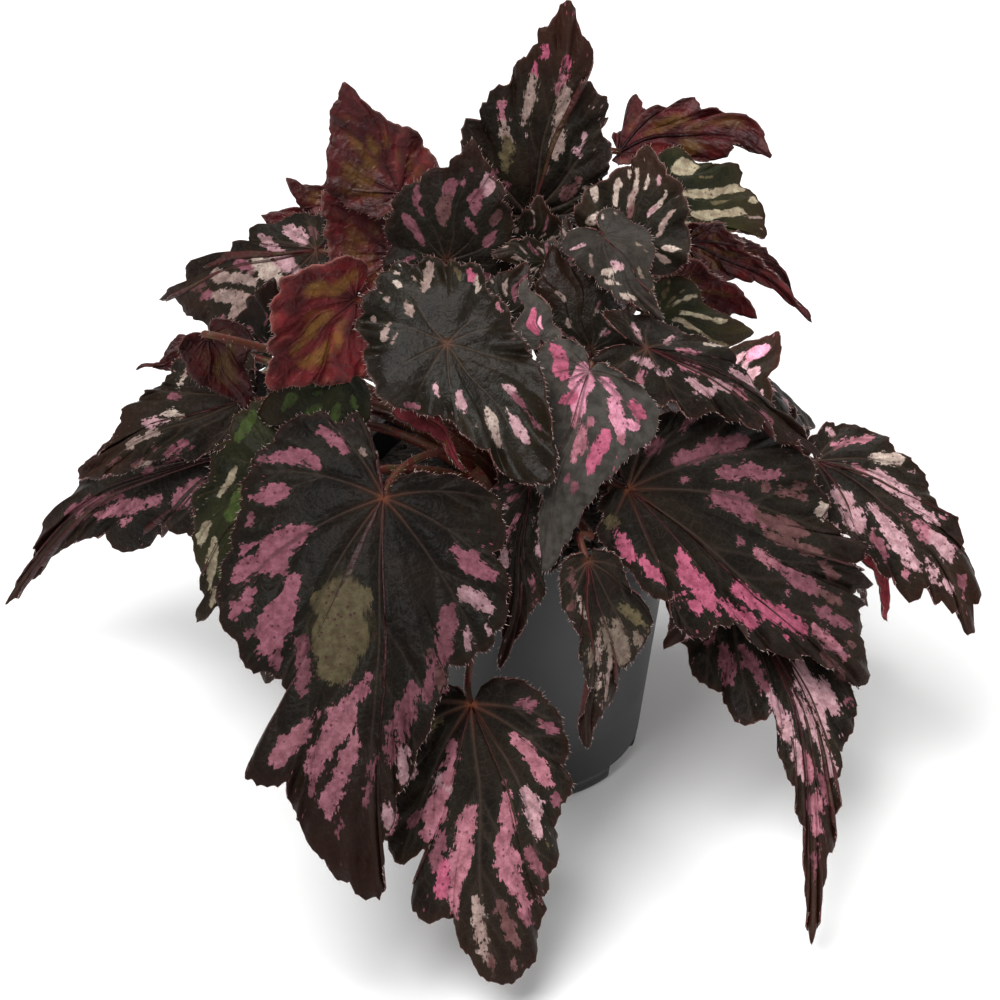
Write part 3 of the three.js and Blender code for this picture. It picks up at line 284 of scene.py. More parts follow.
LEFT_MIDDLE = Outline(
    left=(
        (94, 3), (84, 5), (70, 10), (59, 11), (45, 15), (30, 18), (14, 17), (0, 16), (-7, 10), (-5, 3),
    ),
    right=(
        (94, -5), (80, -6), (72, -9), (67, -15), (56, -21), (57, -24), (48, -25), (40, -26), (37, -32),
        (27, -37), (21, -44), (11, -46), (0, -38), (-7, -20), (-6, -4),
    ),
)
LEFT_LONG_TAIL = Outline(
    left=(
        (87, 2), (78, 2), (72, 3), (65, 5), (58, 8), (52, 10), (52, 16), (44, 18), (42, 14), (37, 17),
        (33, 14), (25, 20), (14, 22), (2, 19), (-6, 10), (-5, 3),
    ),
    right=(
        (90, -1), (78, -2), (70, -7), (64, -5), (56, -10), (45, -12), (36, -16), (26, -15), (12, -17),
        (0, -15), (-6, -8), (-5, -3),
    ),
)


# ---------------- splashes
@dataclass(frozen=True)
class Splash:
    """A ragged splash of pale or pink tissue between the veins, in blade lengths.

    Attributes:
        along: where it starts along the midrib.
        across: where it starts across the midrib.
        to_along: where it ends along the midrib.
        to_across: where it ends across the midrib.
        width: its greatest width.
        tone: its colour.
        blunt: width of its ends against its greatest width.
    """

    along: float
    across: float
    to_along: float
    to_across: float
    width: float
    tone: Tone
    blunt: float = 0.62

    def depth(self, flat: Array) -> Array:
        """How deep each point lies inside the splash, below zero outside it."""
        start = np.array([self.along, self.across])
        way = np.array([self.to_along, self.to_across]) - start
        share = np.clip(((flat - start) @ way) / max(1e-9, float(way @ way)), 0, 1)
        gap = np.hypot(*(flat - start - share[:, None] * way).T)
        return self.width / 2 * (self.blunt + (1 - self.blunt) * np.sin(math.pi * share)) - gap


def placed(blades: dict[str, tuple[tuple, ...]]) -> dict[str, list[Splash]]:
    """Makes the listed splashes of each blade.

    Args:
        blades: rows of along, across, to_along, to_across and width, in hundredths, and tone.

    Returns:
        The splashes by the name of the blade's plain solid.
    """
    return {
        name: [Splash(*(number / 100 for number in row[:5]), row[5]) for row in rows]
        for name, rows in blades.items()
    }


SPLASHES = placed({
    "leaf_front_left": (
        (24, -10, 40, -11.5, 19, MOSS), (26, -15, 25, -5, 10, OLIVE), (28, -10, 42, -11.5, 14, OLIVE),
        (45, -3, 53, -8, 4, MAUVE), (51, -7, 60, -11, 8, PINK), (58, -11, 68, -16, 5, PINK),
        (60, -5, 70, -8, 4, PINK), (69, -8, 78, -12, 5, PINK), (79, -8, 83, -9, 2.5, ROSE),
        (70, -15, 73, -16, 2, ROSE), (65, 0, 75, -2, 3, ROSE), (56, -17, 65, -25, 5, PINK),
        (54, -15, 54.5, -16, 2, PINK), (36, -20.5, 48, -19.5, 4, ROSE), (39, -26.5, 42, -27, 2.5, ROSE),
        (21, -22, 27, -25, 5, MAUVE), (27, -25, 37, -30, 9, MAUVE), (33, -32, 34, -35, 2.5, ROSE),
        (24, -33, 29, -39, 4, MAUVE), (8, -20, 13, -27, 7, MAUVE), (12, -25, 17, -31, 9, MAUVE),
        (16, -31, 20, -38, 5, MAUVE), (12, -33, 13, -36, 3, MAUVE), (5, -33.5, 6, -34, 3, ROSE),
        (-2, -25, 0, -32, 5, MAUVE), (-8, -17, -12, -20, 4, MAUVE), (-10, -20, -10, -27, 4.5, MAUVE),
        (-10, -31, -9, -31.5, 2.5, ROSE), (-12, -10, -17, -16, 2.5, MAUVE),
        (-11, -5, -13, -6, 1.5, SILVER), (76, 3, 81, 4, 3.5, PALE), (63, 7, 70, 7, 3.5, PALE),
        (56, 4, 65, 4.5, 2.5, ROSE), (47, 7.5, 58, 6, 4.5, ROSE), (39, 12, 47, 16, 3, DUSTY),
        (40, 12, 50, 12, 2, ROSE), (28, 16, 40, 15, 5, ROSE), (32, 20, 37, 20.5, 2, PALE),
        (31, 25, 33, 26, 2, PALE), (23, 20, 27, 26, 4, PALE), (13, 19, 19, 26, 5, MAUVE),
        (7.5, 24, 8, 25, 2, HOT), (1, 28, 3, 29, 2.5, DUSTY),
    ),
    "leaf_right_large": (
        (23, 15, 40, 21, 7, ROSE), (38, 21, 53, 26, 6, DUSTY), (42, 17, 63, 25, 3.5, DUSTY),
        (19, 21, 35, 35, 4, ROSE), (7, 17, 22, 37, 5.5, ROSE), (3, 25, 4, 30, 2, ROSE),
        (-1, 13, 0, 18, 3, ROSE), (-6, 10, -5, 20, 2, DUSTY), (40, 30, 47, 42, 2.5, DUSTY),
        (34, 29, 48, 36, 3, DUSTY), (42, 10.5, 52, 12, 4, PINK), (52, 12, 66, 13, 5, ROSE),
        (68, 13, 76, 15, 3, DUSTY), (68, 8, 83, 11, 3.5, ROSE), (72, 3, 87, 2, 3.5, PINK),
        (86, 6.5, 89, 7, 1.5, DUSTY), (63, 22, 70, 21, 3, DUSTY), (54, 36, 56, 38, 5, WHITE),
        (42, -2.5, 55, -2, 4.5, HOT), (53, -2, 70, 0, 5.5, HOT), (42, -9, 55, -8, 3, HOT),
        (24, -8, 40, -12.5, 6, HOT), (32, -15, 40, -16, 2.5, HOT), (30, -17.5, 35, -19, 2, PINK),
        (15, -15.5, 24, -17, 3.5, HOT), (5, -13, 12, -17, 3.5, HOT), (80, -2, 90, -2, 2, DUSTY),
        (1, -11, 2, -13, 4, OLIVE), (65, -5, 66, -5.5, 2, HOT), (20, 12, 20.5, 12, 1.6, ROSE),
        (12, 13, 12.5, 13.5, 1.8, ROSE), (58, 6, 58.5, 6, 1.4, PINK), (78, 5.5, 78.5, 5.5, 1.4, PINK),
        (44, -13, 44.5, -13, 1.4, HOT), (36, 8.5, 37, 9, 1.6, ROSE), (20, -13, 20.5, -13.5, 1.4, HOT),
    ),
    "leaf_front_low": (
        (93, 8, 95, 8.5, 3, DUSTY), (70, 6, 87, 10, 4.5, DUSTY), (72, 14, 78, 16, 4, ROSE),
        (60, 12, 72, 15, 7, PINK), (48, 8, 64, 12, 9, PINK), (33, 9, 50, 10, 5, PINK),
        (26, 8.5, 28, 9, 2, ROSE), (53, 18, 62, 23, 4, ROSE), (32, 17, 48, 22, 6, PALE),
        (50, 25, 52, 26, 2, OLIVE), (35, 28, 38, 28, 3.5, ROSE), (13, 15, 21, 19, 5, PINK),
        (19, 19, 30, 25, 6, PINK), (10, 26, 12, 30, 4, ROSE), (1, 16, 2, 26, 3, ROSE),
        (68, -2, 88, -3, 4.5, SILVER), (90, 0, 98, 0, 3, DUSTY), (36, -4.5, 50, -6, 6, PINK),
        (46, -6, 60, -8, 8, PINK), (58, -8, 73, -9.5, 4.5, PINK), (56, -13, 66, -15, 5, HOT),
        (43, -13, 56, -17, 4, ROSE), (25, -13, 34, -15, 7, PALE), (31, -15, 43, -19, 9, PINK),
        (14, -8, 26, -12, 4.5, PINK), (38, -23, 41, -25, 5, ROSE), (34, -32, 42, -33, 4.5, PINK),
        (18, -25, 24, -25, 5, PALE), (5, -12, 6, -15, 3, OLIVE), (3, -21, 8, -20, 3.5, DUSTY),
        (-6, -9, -6, -11, 2, PINK),
    ),
    "leaf_far_right": (
        (13, 7, 22, 8, 3.5, PINK), (22, 9, 36, 13, 9, PALE), (34, 12, 46, 11, 7, PALE),
        (16, 17, 25, 24.5, 5.5, WHITE), (2, 13, 9, 26, 5, PINK), (48, 10, 57, 11.5, 5, PALE),
        (43, 2, 52, 4, 4, PINK), (50, 4, 63, 4.5, 8, PINK), (60, 5, 72, 5.5, 8, PALE),
        (70, 10, 71, 11, 2, PINK), (80, 4, 85, 6, 4, ROSE), (33, 25, 34, 25.5, 2, PALE),
        (-4, 16, -3.5, 17, 2, PALE), (72, -6, 83, -2, 3.5, PALE), (64, -4.5, 76, -6, 4, PALE),
        (31, -4, 45, -6.5, 4.5, PALE), (42, -6.5, 56, -9.5, 8, PALE), (54, -9.5, 65, -11, 6, PALE),
        (62, -15, 65, -15, 3, PINK), (41, -13, 53, -17.5, 4, ROSE), (16, -8, 26, -11, 6, PALE),
        (24, -11, 35, -14.5, 7, PALE), (13, -16, 20, -21, 4.5, PALE), (26, -20, 28, -21, 3.5, PALE),
        (5, -17, 7, -19, 4, ROSE), (-2, -7, 2, -13, 4, DUSTY), (33, -21.5, 33.5, -21.5, 2.2, WHITE),
        (20, -23.5, 20.5, -24, 2, WHITE), (10, 6, 10.5, 6, 1.8, PALE), (47, -2, 47.5, -2, 1.6, PALE),
        (56, 16, 56.5, 16, 2, PINK), (88, 2, 88.5, 2, 1.4, PINK),
    ),
    "leaf_right_hanging": (
        (66, 3, 67, 3, 1.5, ROSE), (57, 3.5, 63, 4.5, 3.5, ROSE), (56, 6, 44, 3, 3, PALE),
        (46, 3, 34, 0, 4, PALE), (45, 6, 36, 5, 3, PALE), (37, 6, 24, 5, 6, PALE),
        (39, 10, 30, 10, 4, PALE), (35, 15, 37, 15.5, 2.5, ROSE), (28, 15, 30, 17, 3.5, DUSTY),
        (16, 14, 25, 20, 3.5, PINK), (19, 12, 9, 8, 5, PINK), (10, 8, 1, 3, 5, PINK),
        (12, 21, 13, 22, 3, ROSE), (-1, 20, -7, 13, 5, ROSE), (16, 5.5, 16.5, 6, 2.5, ROSE),
        (67, -0.5, 62, -0.5, 2, PINK), (57, -2, 47, -3, 3.5, PALE), (44, -5, 30, -6.5, 4, PALE),
        (30, -7, 17, -7, 3.5, ROSE), (25, -15, 16, -12, 4, ROSE), (15, -16, 7, -9, 3, ROSE),
        (12, -1, 4, -4, 3, PINK), (4, -6, 1, -13, 5, HOT), (-1, -8, -6, -10, 3, HOT),
        (72, 0.5, 60, 1, 3.2, PINK), (56, 0, 50, -1, 3, PINK), (84, 0, 76, 0, 1.6, ROSE),
    ),
    "leaf_front_small": (
        (57, 18, 34, 13, 9, ASH), (74, 9, 50, 8, 4.5, SILVER), (50, 9, 30, 7, 5.5, ASH),
        (66, 3, 40, 2, 4, SILVER), (50, 27, 42, 24, 4, ASH), (40, 30, 27, 18, 5, OLIVE),
        (75, 7, 72, 3, 2, SILVER), (68, 5, 67, 5, 2, WHITE), (63, 5, 64, 5, 1.5, WHITE),
        (78, 11, 70, 10, 2, ASH), (58, -3, 44, -2, 2.5, ASH), (20, -7, 21, -10, 4, DUSTY),
        (15, -8, 5, -8, 3, DUSTY), (28, -2, 15, -6, 1.2, SILVER),
    ),
    "leaf_centre_folded": (
        (49, 16, 29, 16.5, 9, HOT), (45, 5, 30, 4, 7.7, PINK), (31, 28, 27, 25, 5.1, PINK),
        (24, 7, 25, 7, 5.1, PINK), (23, 32, 20, 22, 6.4, BLUSH), (25, 24, 12, 17, 9, BLUSH),
        (17, 36, 13, 28, 6.4, HOT), (10, 20, 2, 8, 3.8, BLUSH), (22, -1, 12, -2, 11.6, BLUSH),
        (13, -2, 2, -4, 15.5, BLUSH), (14, -5, 18, -13, 6.4, HOT), (5, -15, 1, -21, 10.3, HOT),
        (-2, -17, -7, -27, 6.4, HOT), (27, -2, 22, -2, 5.1, PINK), (62, 10, 58, 10, 5.1, ROSE),
        (57, 5, 55, 5, 5.1, ROSE),
    ),
    "leaf_shadow_green": (
        (80, 6, 60, 5, 12, LEAFY), (66, -14, 46, -10, 12, LEAFY), (58, 26, 38, 18, 11, LEAFY),
        (46, -32, 30, -20, 11, LEAFY), (30, 38, 18, 24, 10, LEAFY), (16, -38, 10, -24, 10, LEAFY),
        (40, 6, 30, 5, 5, LEAFY), (2, 34, 1, 22, 6, LEAFY),
    ),
    "leaf_bud": (
        (62, 5, 16, 4, 22, HOT), (45, -16, 20, -12, 7, BLUSH),
    ),
    "leaf_left_red": (
        (2, 20, -20, 26, 10, OLIVE), (16, 34, 6, 38, 8, OLIVE), (68, -6, 48, -12, 10, OLIVE),
        (42, 20, 30, 16, 5, OLIVE), (66, 10, 26, 5, 10, ROSE), (40, -20, 24, -10, 7, ROSE),
    ),
    "leaf_centre_dark": (
        (75, 4, 58, 3, 6.5, PALE), (68, -11, 58, -10, 6, SILVER), (58, -10, 47, -7, 6, WHITE),
        (53, -20, 49, -19, 3.5, SILVER), (52, 2, 55, 2, 1.5, WHITE), (48, 11, 42, 10, 4.5, PALE),
        (58, 12, 48, 11, 3, ROSE), (73, 14, 60, 12, 3, ROSE), (40, -18, 28, -12, 5, PALE),
        (23, -23, 17, -20, 3, PALE), (20, -35, 16, -40, 3.5, ROSE), (-35, 7, -45, 20, 6, SILVER),
        (-27, -8, -36, -6, 4, SILVER), (-28, 28, -33, 29, 4, OLIVE), (-22, 33, -27, 34, 4, HOT),
        (-16, 33, -20, 36, 3, WHITE), (-25, -30, -31, -23, 5, SILVER), (-20, -26, -24, -20, 2, SILVER),
        (-45, -2, -49, -2, 3, WHITE), (-44, 7, -46, 7, 2, SILVER), (4, 38, -1, 39, 3, PINK),
        (-38, -26, -39, -28, 3, SILVER), (-42, -14, -44, -14, 2, SILVER), (-52, 3, -54, 2, 2, WHITE),
    ),
    "leaf_top_upright": (
        (78, 8.5, 74, 8, 2, HOT), (68, 12, 63, 12, 3, HOT), (63, 12, 42, 9, 4.5, SILVER),
        (50, 22, 40, 18, 3, PINK), (40, 18, 30, 14, 4, SILVER), (33, 15, 18, 14, 5, OLIVE),
        (18, 20, 3, 25, 6, ROSE), (12, 13, 5, 12, 1.5, ROSE), (76, -1.5, 68, -2, 3.5, HOT),
        (68, -1, 60, 0, 3, PINK), (60, -5, 45, -6, 5.5, SILVER), (46, -6, 29, -7, 5.5, SILVER),
        (43, -19, 40, -19, 3.5, PALE), (34, -17, 33, -17, 3, PALE), (36, 7, 37, 7, 1.5, PALE),
        (22, -4, 23, -4, 2.5, DUSTY), (20, -19, 12, -13, 6, DUSTY), (17, -23, 13, -28, 5, WHITE),
        (4, -24, 5, -26, 3, WHITE), (-3, -5, -4, -6, 3, ROSE),
    ),
    "leaf_upper_centre": (
        (68, 3, 62, 0, 5, ROSE), (65, 9, 48, 9, 11, ROSE), (50, 9, 30, 8, 12, DUSTY),
        (52, 34, 40, 32, 8, ROSE), (37, 28, 32, 25, 5, ROSE), (27, 40, 17, 31, 10, ROSE),
        (18, 32, 8, 23, 7, ROSE), (75, -15, 62, -22, 11, PALE), (61, -13, 45, -17, 12, ROSE),
        (38, -11, 28, -20, 6, ROSE), (30, -36, 20, -28, 8, ROSE), (48, -36, 36, -33, 8, DUSTY),
        (80, -3, 76, -2, 3, ROSE), (-5, 30, -10, 38, 6, ROSE), (-5, -30, -10, -38, 6, ROSE),
    ),
    "leaf_left_upper": (
        (64, 25, 55, 26, 6.2, ROSE), (52, 24, 40, 20, 8.8, SILVER), (69, 8, 60, 11, 6.2, ROSE),
        (60, 12, 40, 18, 7.5, SILVER), (60, 1, 48, 6, 6.2, SILVER), (48, 6, 36, 10, 6.2, SILVER),
        (45, -1, 33, 4, 6.2, ROSE), (32, 0, 22, 10, 11.2, WHITE), (22, -5, 12, 7, 7.5, PALE),
        (17, -18, 6, -6, 6.9, PALE), (30, -13, 22, -5, 5, PALE), (5, -15, 0, -6, 3, DUSTY),
        (74, 2, 66, 3, 3, DUSTY), (18, 22, 10, 14, 6.2, SILVER),
    ),
    "leaf_left_middle": (
        (66, 0, 56, 1, 4.5, SILVER), (57, 1, 45, 2, 4, SILVER), (78, 3, 73, 3, 2, DUSTY),
        (67, 10, 60, 9, 3, DUSTY), (52, 9, 48, 9, 3, DUSTY), (52, -6, 42, -3, 5, PALE),
        (41, -7, 34, -5, 5, WHITE), (38, -17, 33, -14, 5, ROSE), (33, -22, 27, -27, 3, WHITE),
        (28, -27, 22, -30, 3.5, SILVER), (20, -33, 14, -37, 4, WHITE), (46, 14, 34, 11, 4, ROSE),
        (6, 16, 10, 10, 4, ROSE), (8, -26, 10, -36, 4, PALE),
    ),
    "leaf_left_long_tail": (
        (61, -2, 42, 2, 2.8, ROSE), (60, 1, 51, 3.5, 2.2, PINK), (52, 4.5, 28, 7, 4, PINK),
        (27, 9.5, 13.5, 5.5, 4, PINK), (21, 14.5, 13, 10, 3, PINK), (45, 9.5, 42, 10, 2, PINK),
        (38, -5, 25, -5, 2.5, SILVER), (35, -10, 25, -11, 3, WHITE), (22, -14, 12, -16, 3.5, PALE),
        (30, -2, 18, -3, 2, ROSE), (46, -5, 40, -6, 2, ROSE), (12, 19, 4, 14, 3, PINK),
    ),
    "leaf_left_green": (
        (62, -19, 46, -19, 6, CREAM), (80, -5, 54, -10, 8, CREAM), (92, 2, 80, 2, 5, CREAM),
        (72, 1, 64, -1, 4, LEAFY), (36, -10, 14, -13, 11, LEAFY), (30, -24, 12, -26, 5, CREAM),
        (-4, -34, -20, -32, 8, LEAFY), (48, 10, 28, 14, 6, CREAM), (22, 22, 6, 22, 5, CREAM),
        (-6, 16, -16, 22, 5, CREAM),
    ),
    "leaf_far_right_sliver": (
        (-10, 0, 98, 0, 70, CRIMSON),
    ),
    "leaf_young_rolled": (
        (-20, 0, 98, 0, 90, CRIMSON),
    ),
    "leaf_curly_fan": (
        (62, 30, 48, 27, 9, WHITE), (48, 27, 35, 21, 7, WHITE), (75, 22, 65, 20, 5, WHITE),
        (77, 13, 56, 9, 6, WHITE), (56, 9, 35, 6, 8, SILVER), (75, 0, 58, -1, 3, WHITE),
        (75, -12, 65, -13, 5, PALE), (60, -24, 57, -23, 4, WHITE), (52, -25, 40, -22, 8, WHITE),
        (40, -20, 27, -16, 5, PALE), (47, 52, 35, 43, 8, WHITE), (20, 38, 8, 52, 9, WHITE),
        (30, -37, 10, -28, 6, SILVER), (35, 2, 25, 5, 5, DUSTY), (45, -43, 33, -37, 5, SILVER),
        (-8, 45, -4, 30, 6, SILVER), (2, -52, 0, -34, 6, WHITE), (-16, -42, -10, -28, 6, SILVER),
    ),
    "leaf_dark_folded": (
        (77, -5, 65, -8, 4.5, WHITE), (68, -13, 62, -16, 4, WHITE), (52, -12, 43, -27, 5.5, WHITE),
        (40, -3, 30, -12, 8, PALE), (38, -15, 30, -27, 7, WHITE), (-15, 37, -22, 33, 4, SILVER),
        (-20, 15, -25, 18, 5, WHITE), (35, 30, 22, 24, 3.5, ASH), (20, -32, 8, -24, 5, SILVER),
        (60, 16, 46, 14, 4, ASH), (-10, -32, -4, -20, 5, PALE),
    ),
    "leaf_right_green": (
        (75, 36, 57, 29, 8.1, CREAM), (58, 29, 26, 14, 8.1, CREAM), (77, 14, 56, 7, 8.1, CREAM),
        (62, 9, 38, 1, 8.8, CREAM), (55, -7, 30, -10, 6.8, CREAM), (32, 43, 17, 30, 13.5, CREAM),
        (88, 29, 81, 24, 6.8, CREAM), (95, 16, 85, 11, 4.1, SILVER), (12, 8, 6, -12, 6.8, SILVER),
        (-5, 30, -3, 15, 4, OLIVE), (47, 38, 36, 33, 3, OLIVE), (66, 22, 50, 16, 2.5, OLIVE),
    ),
    "leaf_right_pale_pink": (
        (76, 2, 58, 5, 16, BLUSH), (56, 12, 28, 12, 7, PALE), (52, -12, 32, -10, 10, PALE),
        (50, 2, 30, 2, 4, PALE), (12, 36, 6, 6, 8, PALE), (16, 0, 14, -20, 7, PALE),
        (-8, 30, -5, 12, 6, PINK), (38, 22, 24, 20, 5, ROSE), (36, -30, 26, -34, 4, PALE),
        (0, -40, -4, -20, 5, PINK),
    ),
    "leaf_right_dark_long": (
        (57, 12, 42, 8, 4.5, PALE), (52, -2, 43, -2, 3, PINK), (40, -5, 28, -3, 5, PALE),
        (28, -3, 17, -2, 4, PINK), (33, -10, 22, -7, 3.5, PALE), (13, -8, -3, -6, 3.5, PALE),
        (35, 18, 28, 17, 3, WHITE), (13, 15, 8, 9, 3, PALE), (24, 10, 14, 6, 3, PINK),
        (66, -4, 58, -3, 3, ROSE), (-5, 14, -3, 6, 3, PALE), (4, -20, 2, -12, 3, PINK),
    ),
})
GROWN_TONES = {
    Slot.PINK: (PINK, ROSE, PALE),
    Slot.SILVER: (SILVER, WHITE, PALE),
    Slot.DARK: (ROSE, SILVER),
    Slot.GREEN: (CREAM, OLIVE, CREAM),
    Slot.RED: (PALE, OLIVE),
}


# ---------------- leaves
@dataclass(frozen=True)
class Habit:
    """How one blade differs from the others of its kind.

    Attributes:
        warm: how strongly its joint and the veins there glow orange.
        shade: how light it is against its finish; partly the blade's own lightness, partly painted
            light and shade, darker for blades deep in the plant.
        ruffle: height of its small ruffles, in millimetres.
        curl: how far its margin turns up, in millimetres.
        pucker: how high its tissue stands between the veins, in millimetres.
        ruddy: how red it is towards its tip.
        scallop: height of the scallops of its margin, in millimetres.
        swell: its size against its plain solid.
        ragged: how ragged its splashes are.
        veins: how strongly its veins show.
        ashen: how far its tissue has turned grey.
    """

    warm: float = 0.12
    shade: float = 1.0
    ruffle: float = 1.9
    curl: float = 0.5
    pucker: float = 1.2
    ruddy: float = 0.35
    scallop: float = 2.6
    swell: float = 1.0
    ragged: float = 1.0
    veins: float = 1.0
    ashen: float = 0.0


@dataclass(frozen=True)
class Leaf:
    """Where a leaf sits and how its blade bends, in millimetres, degrees and blade lengths.

    Attributes:
        name: the name of its plain solid.
        slot: the finish that it takes.
        outline: the margin.
        joint: where the stalk meets the blade.
        tip: the blade's tip.
        face: the way the upper side looks.
        wide: width factors of the left and the right half.
        arch: rise of the midrib over the line from joint to tip.
        bow: the same sideways.
        fold: how far each half turns down at the midrib.
        cup: how much more it turns by one blade length.
        wave: height of the margin's waves.
        waves: how many waves run round the margin.
        over: a point that the stalk passes on its way out.
        rise: how steeply the stalk leaves.
        climb: how long the stalk keeps its way at the root.
        hang: how long it keeps its way at the blade.
        lean: the stalk's way into the blade, along the midrib and square to the blade.
        root: where the stalk leaves the rhizome.
        closed: whether the blade runs all round its joint.
        habit: its own habit; without one it follows its size.
    """

    name: str
    slot: Slot
    outline: Outline
    joint: Triple
    tip: Triple
    face: Triple
    wide: Pair = (1.0, 1.0)
    arch: float = 0.05
    bow: float = 0.0
    fold: float = 10.0
    cup: float = 5.0
    wave: float = 2.0
    waves: float = 5.0
    over: Optional[Triple] = None
    rise: float = 0.75
    climb: float = 0.45
    hang: float = 0.3
    lean: Pair = (0.6, 0.8)
    root: Optional[Pair] = None
    closed: bool = False
    habit: Optional[Habit] = None


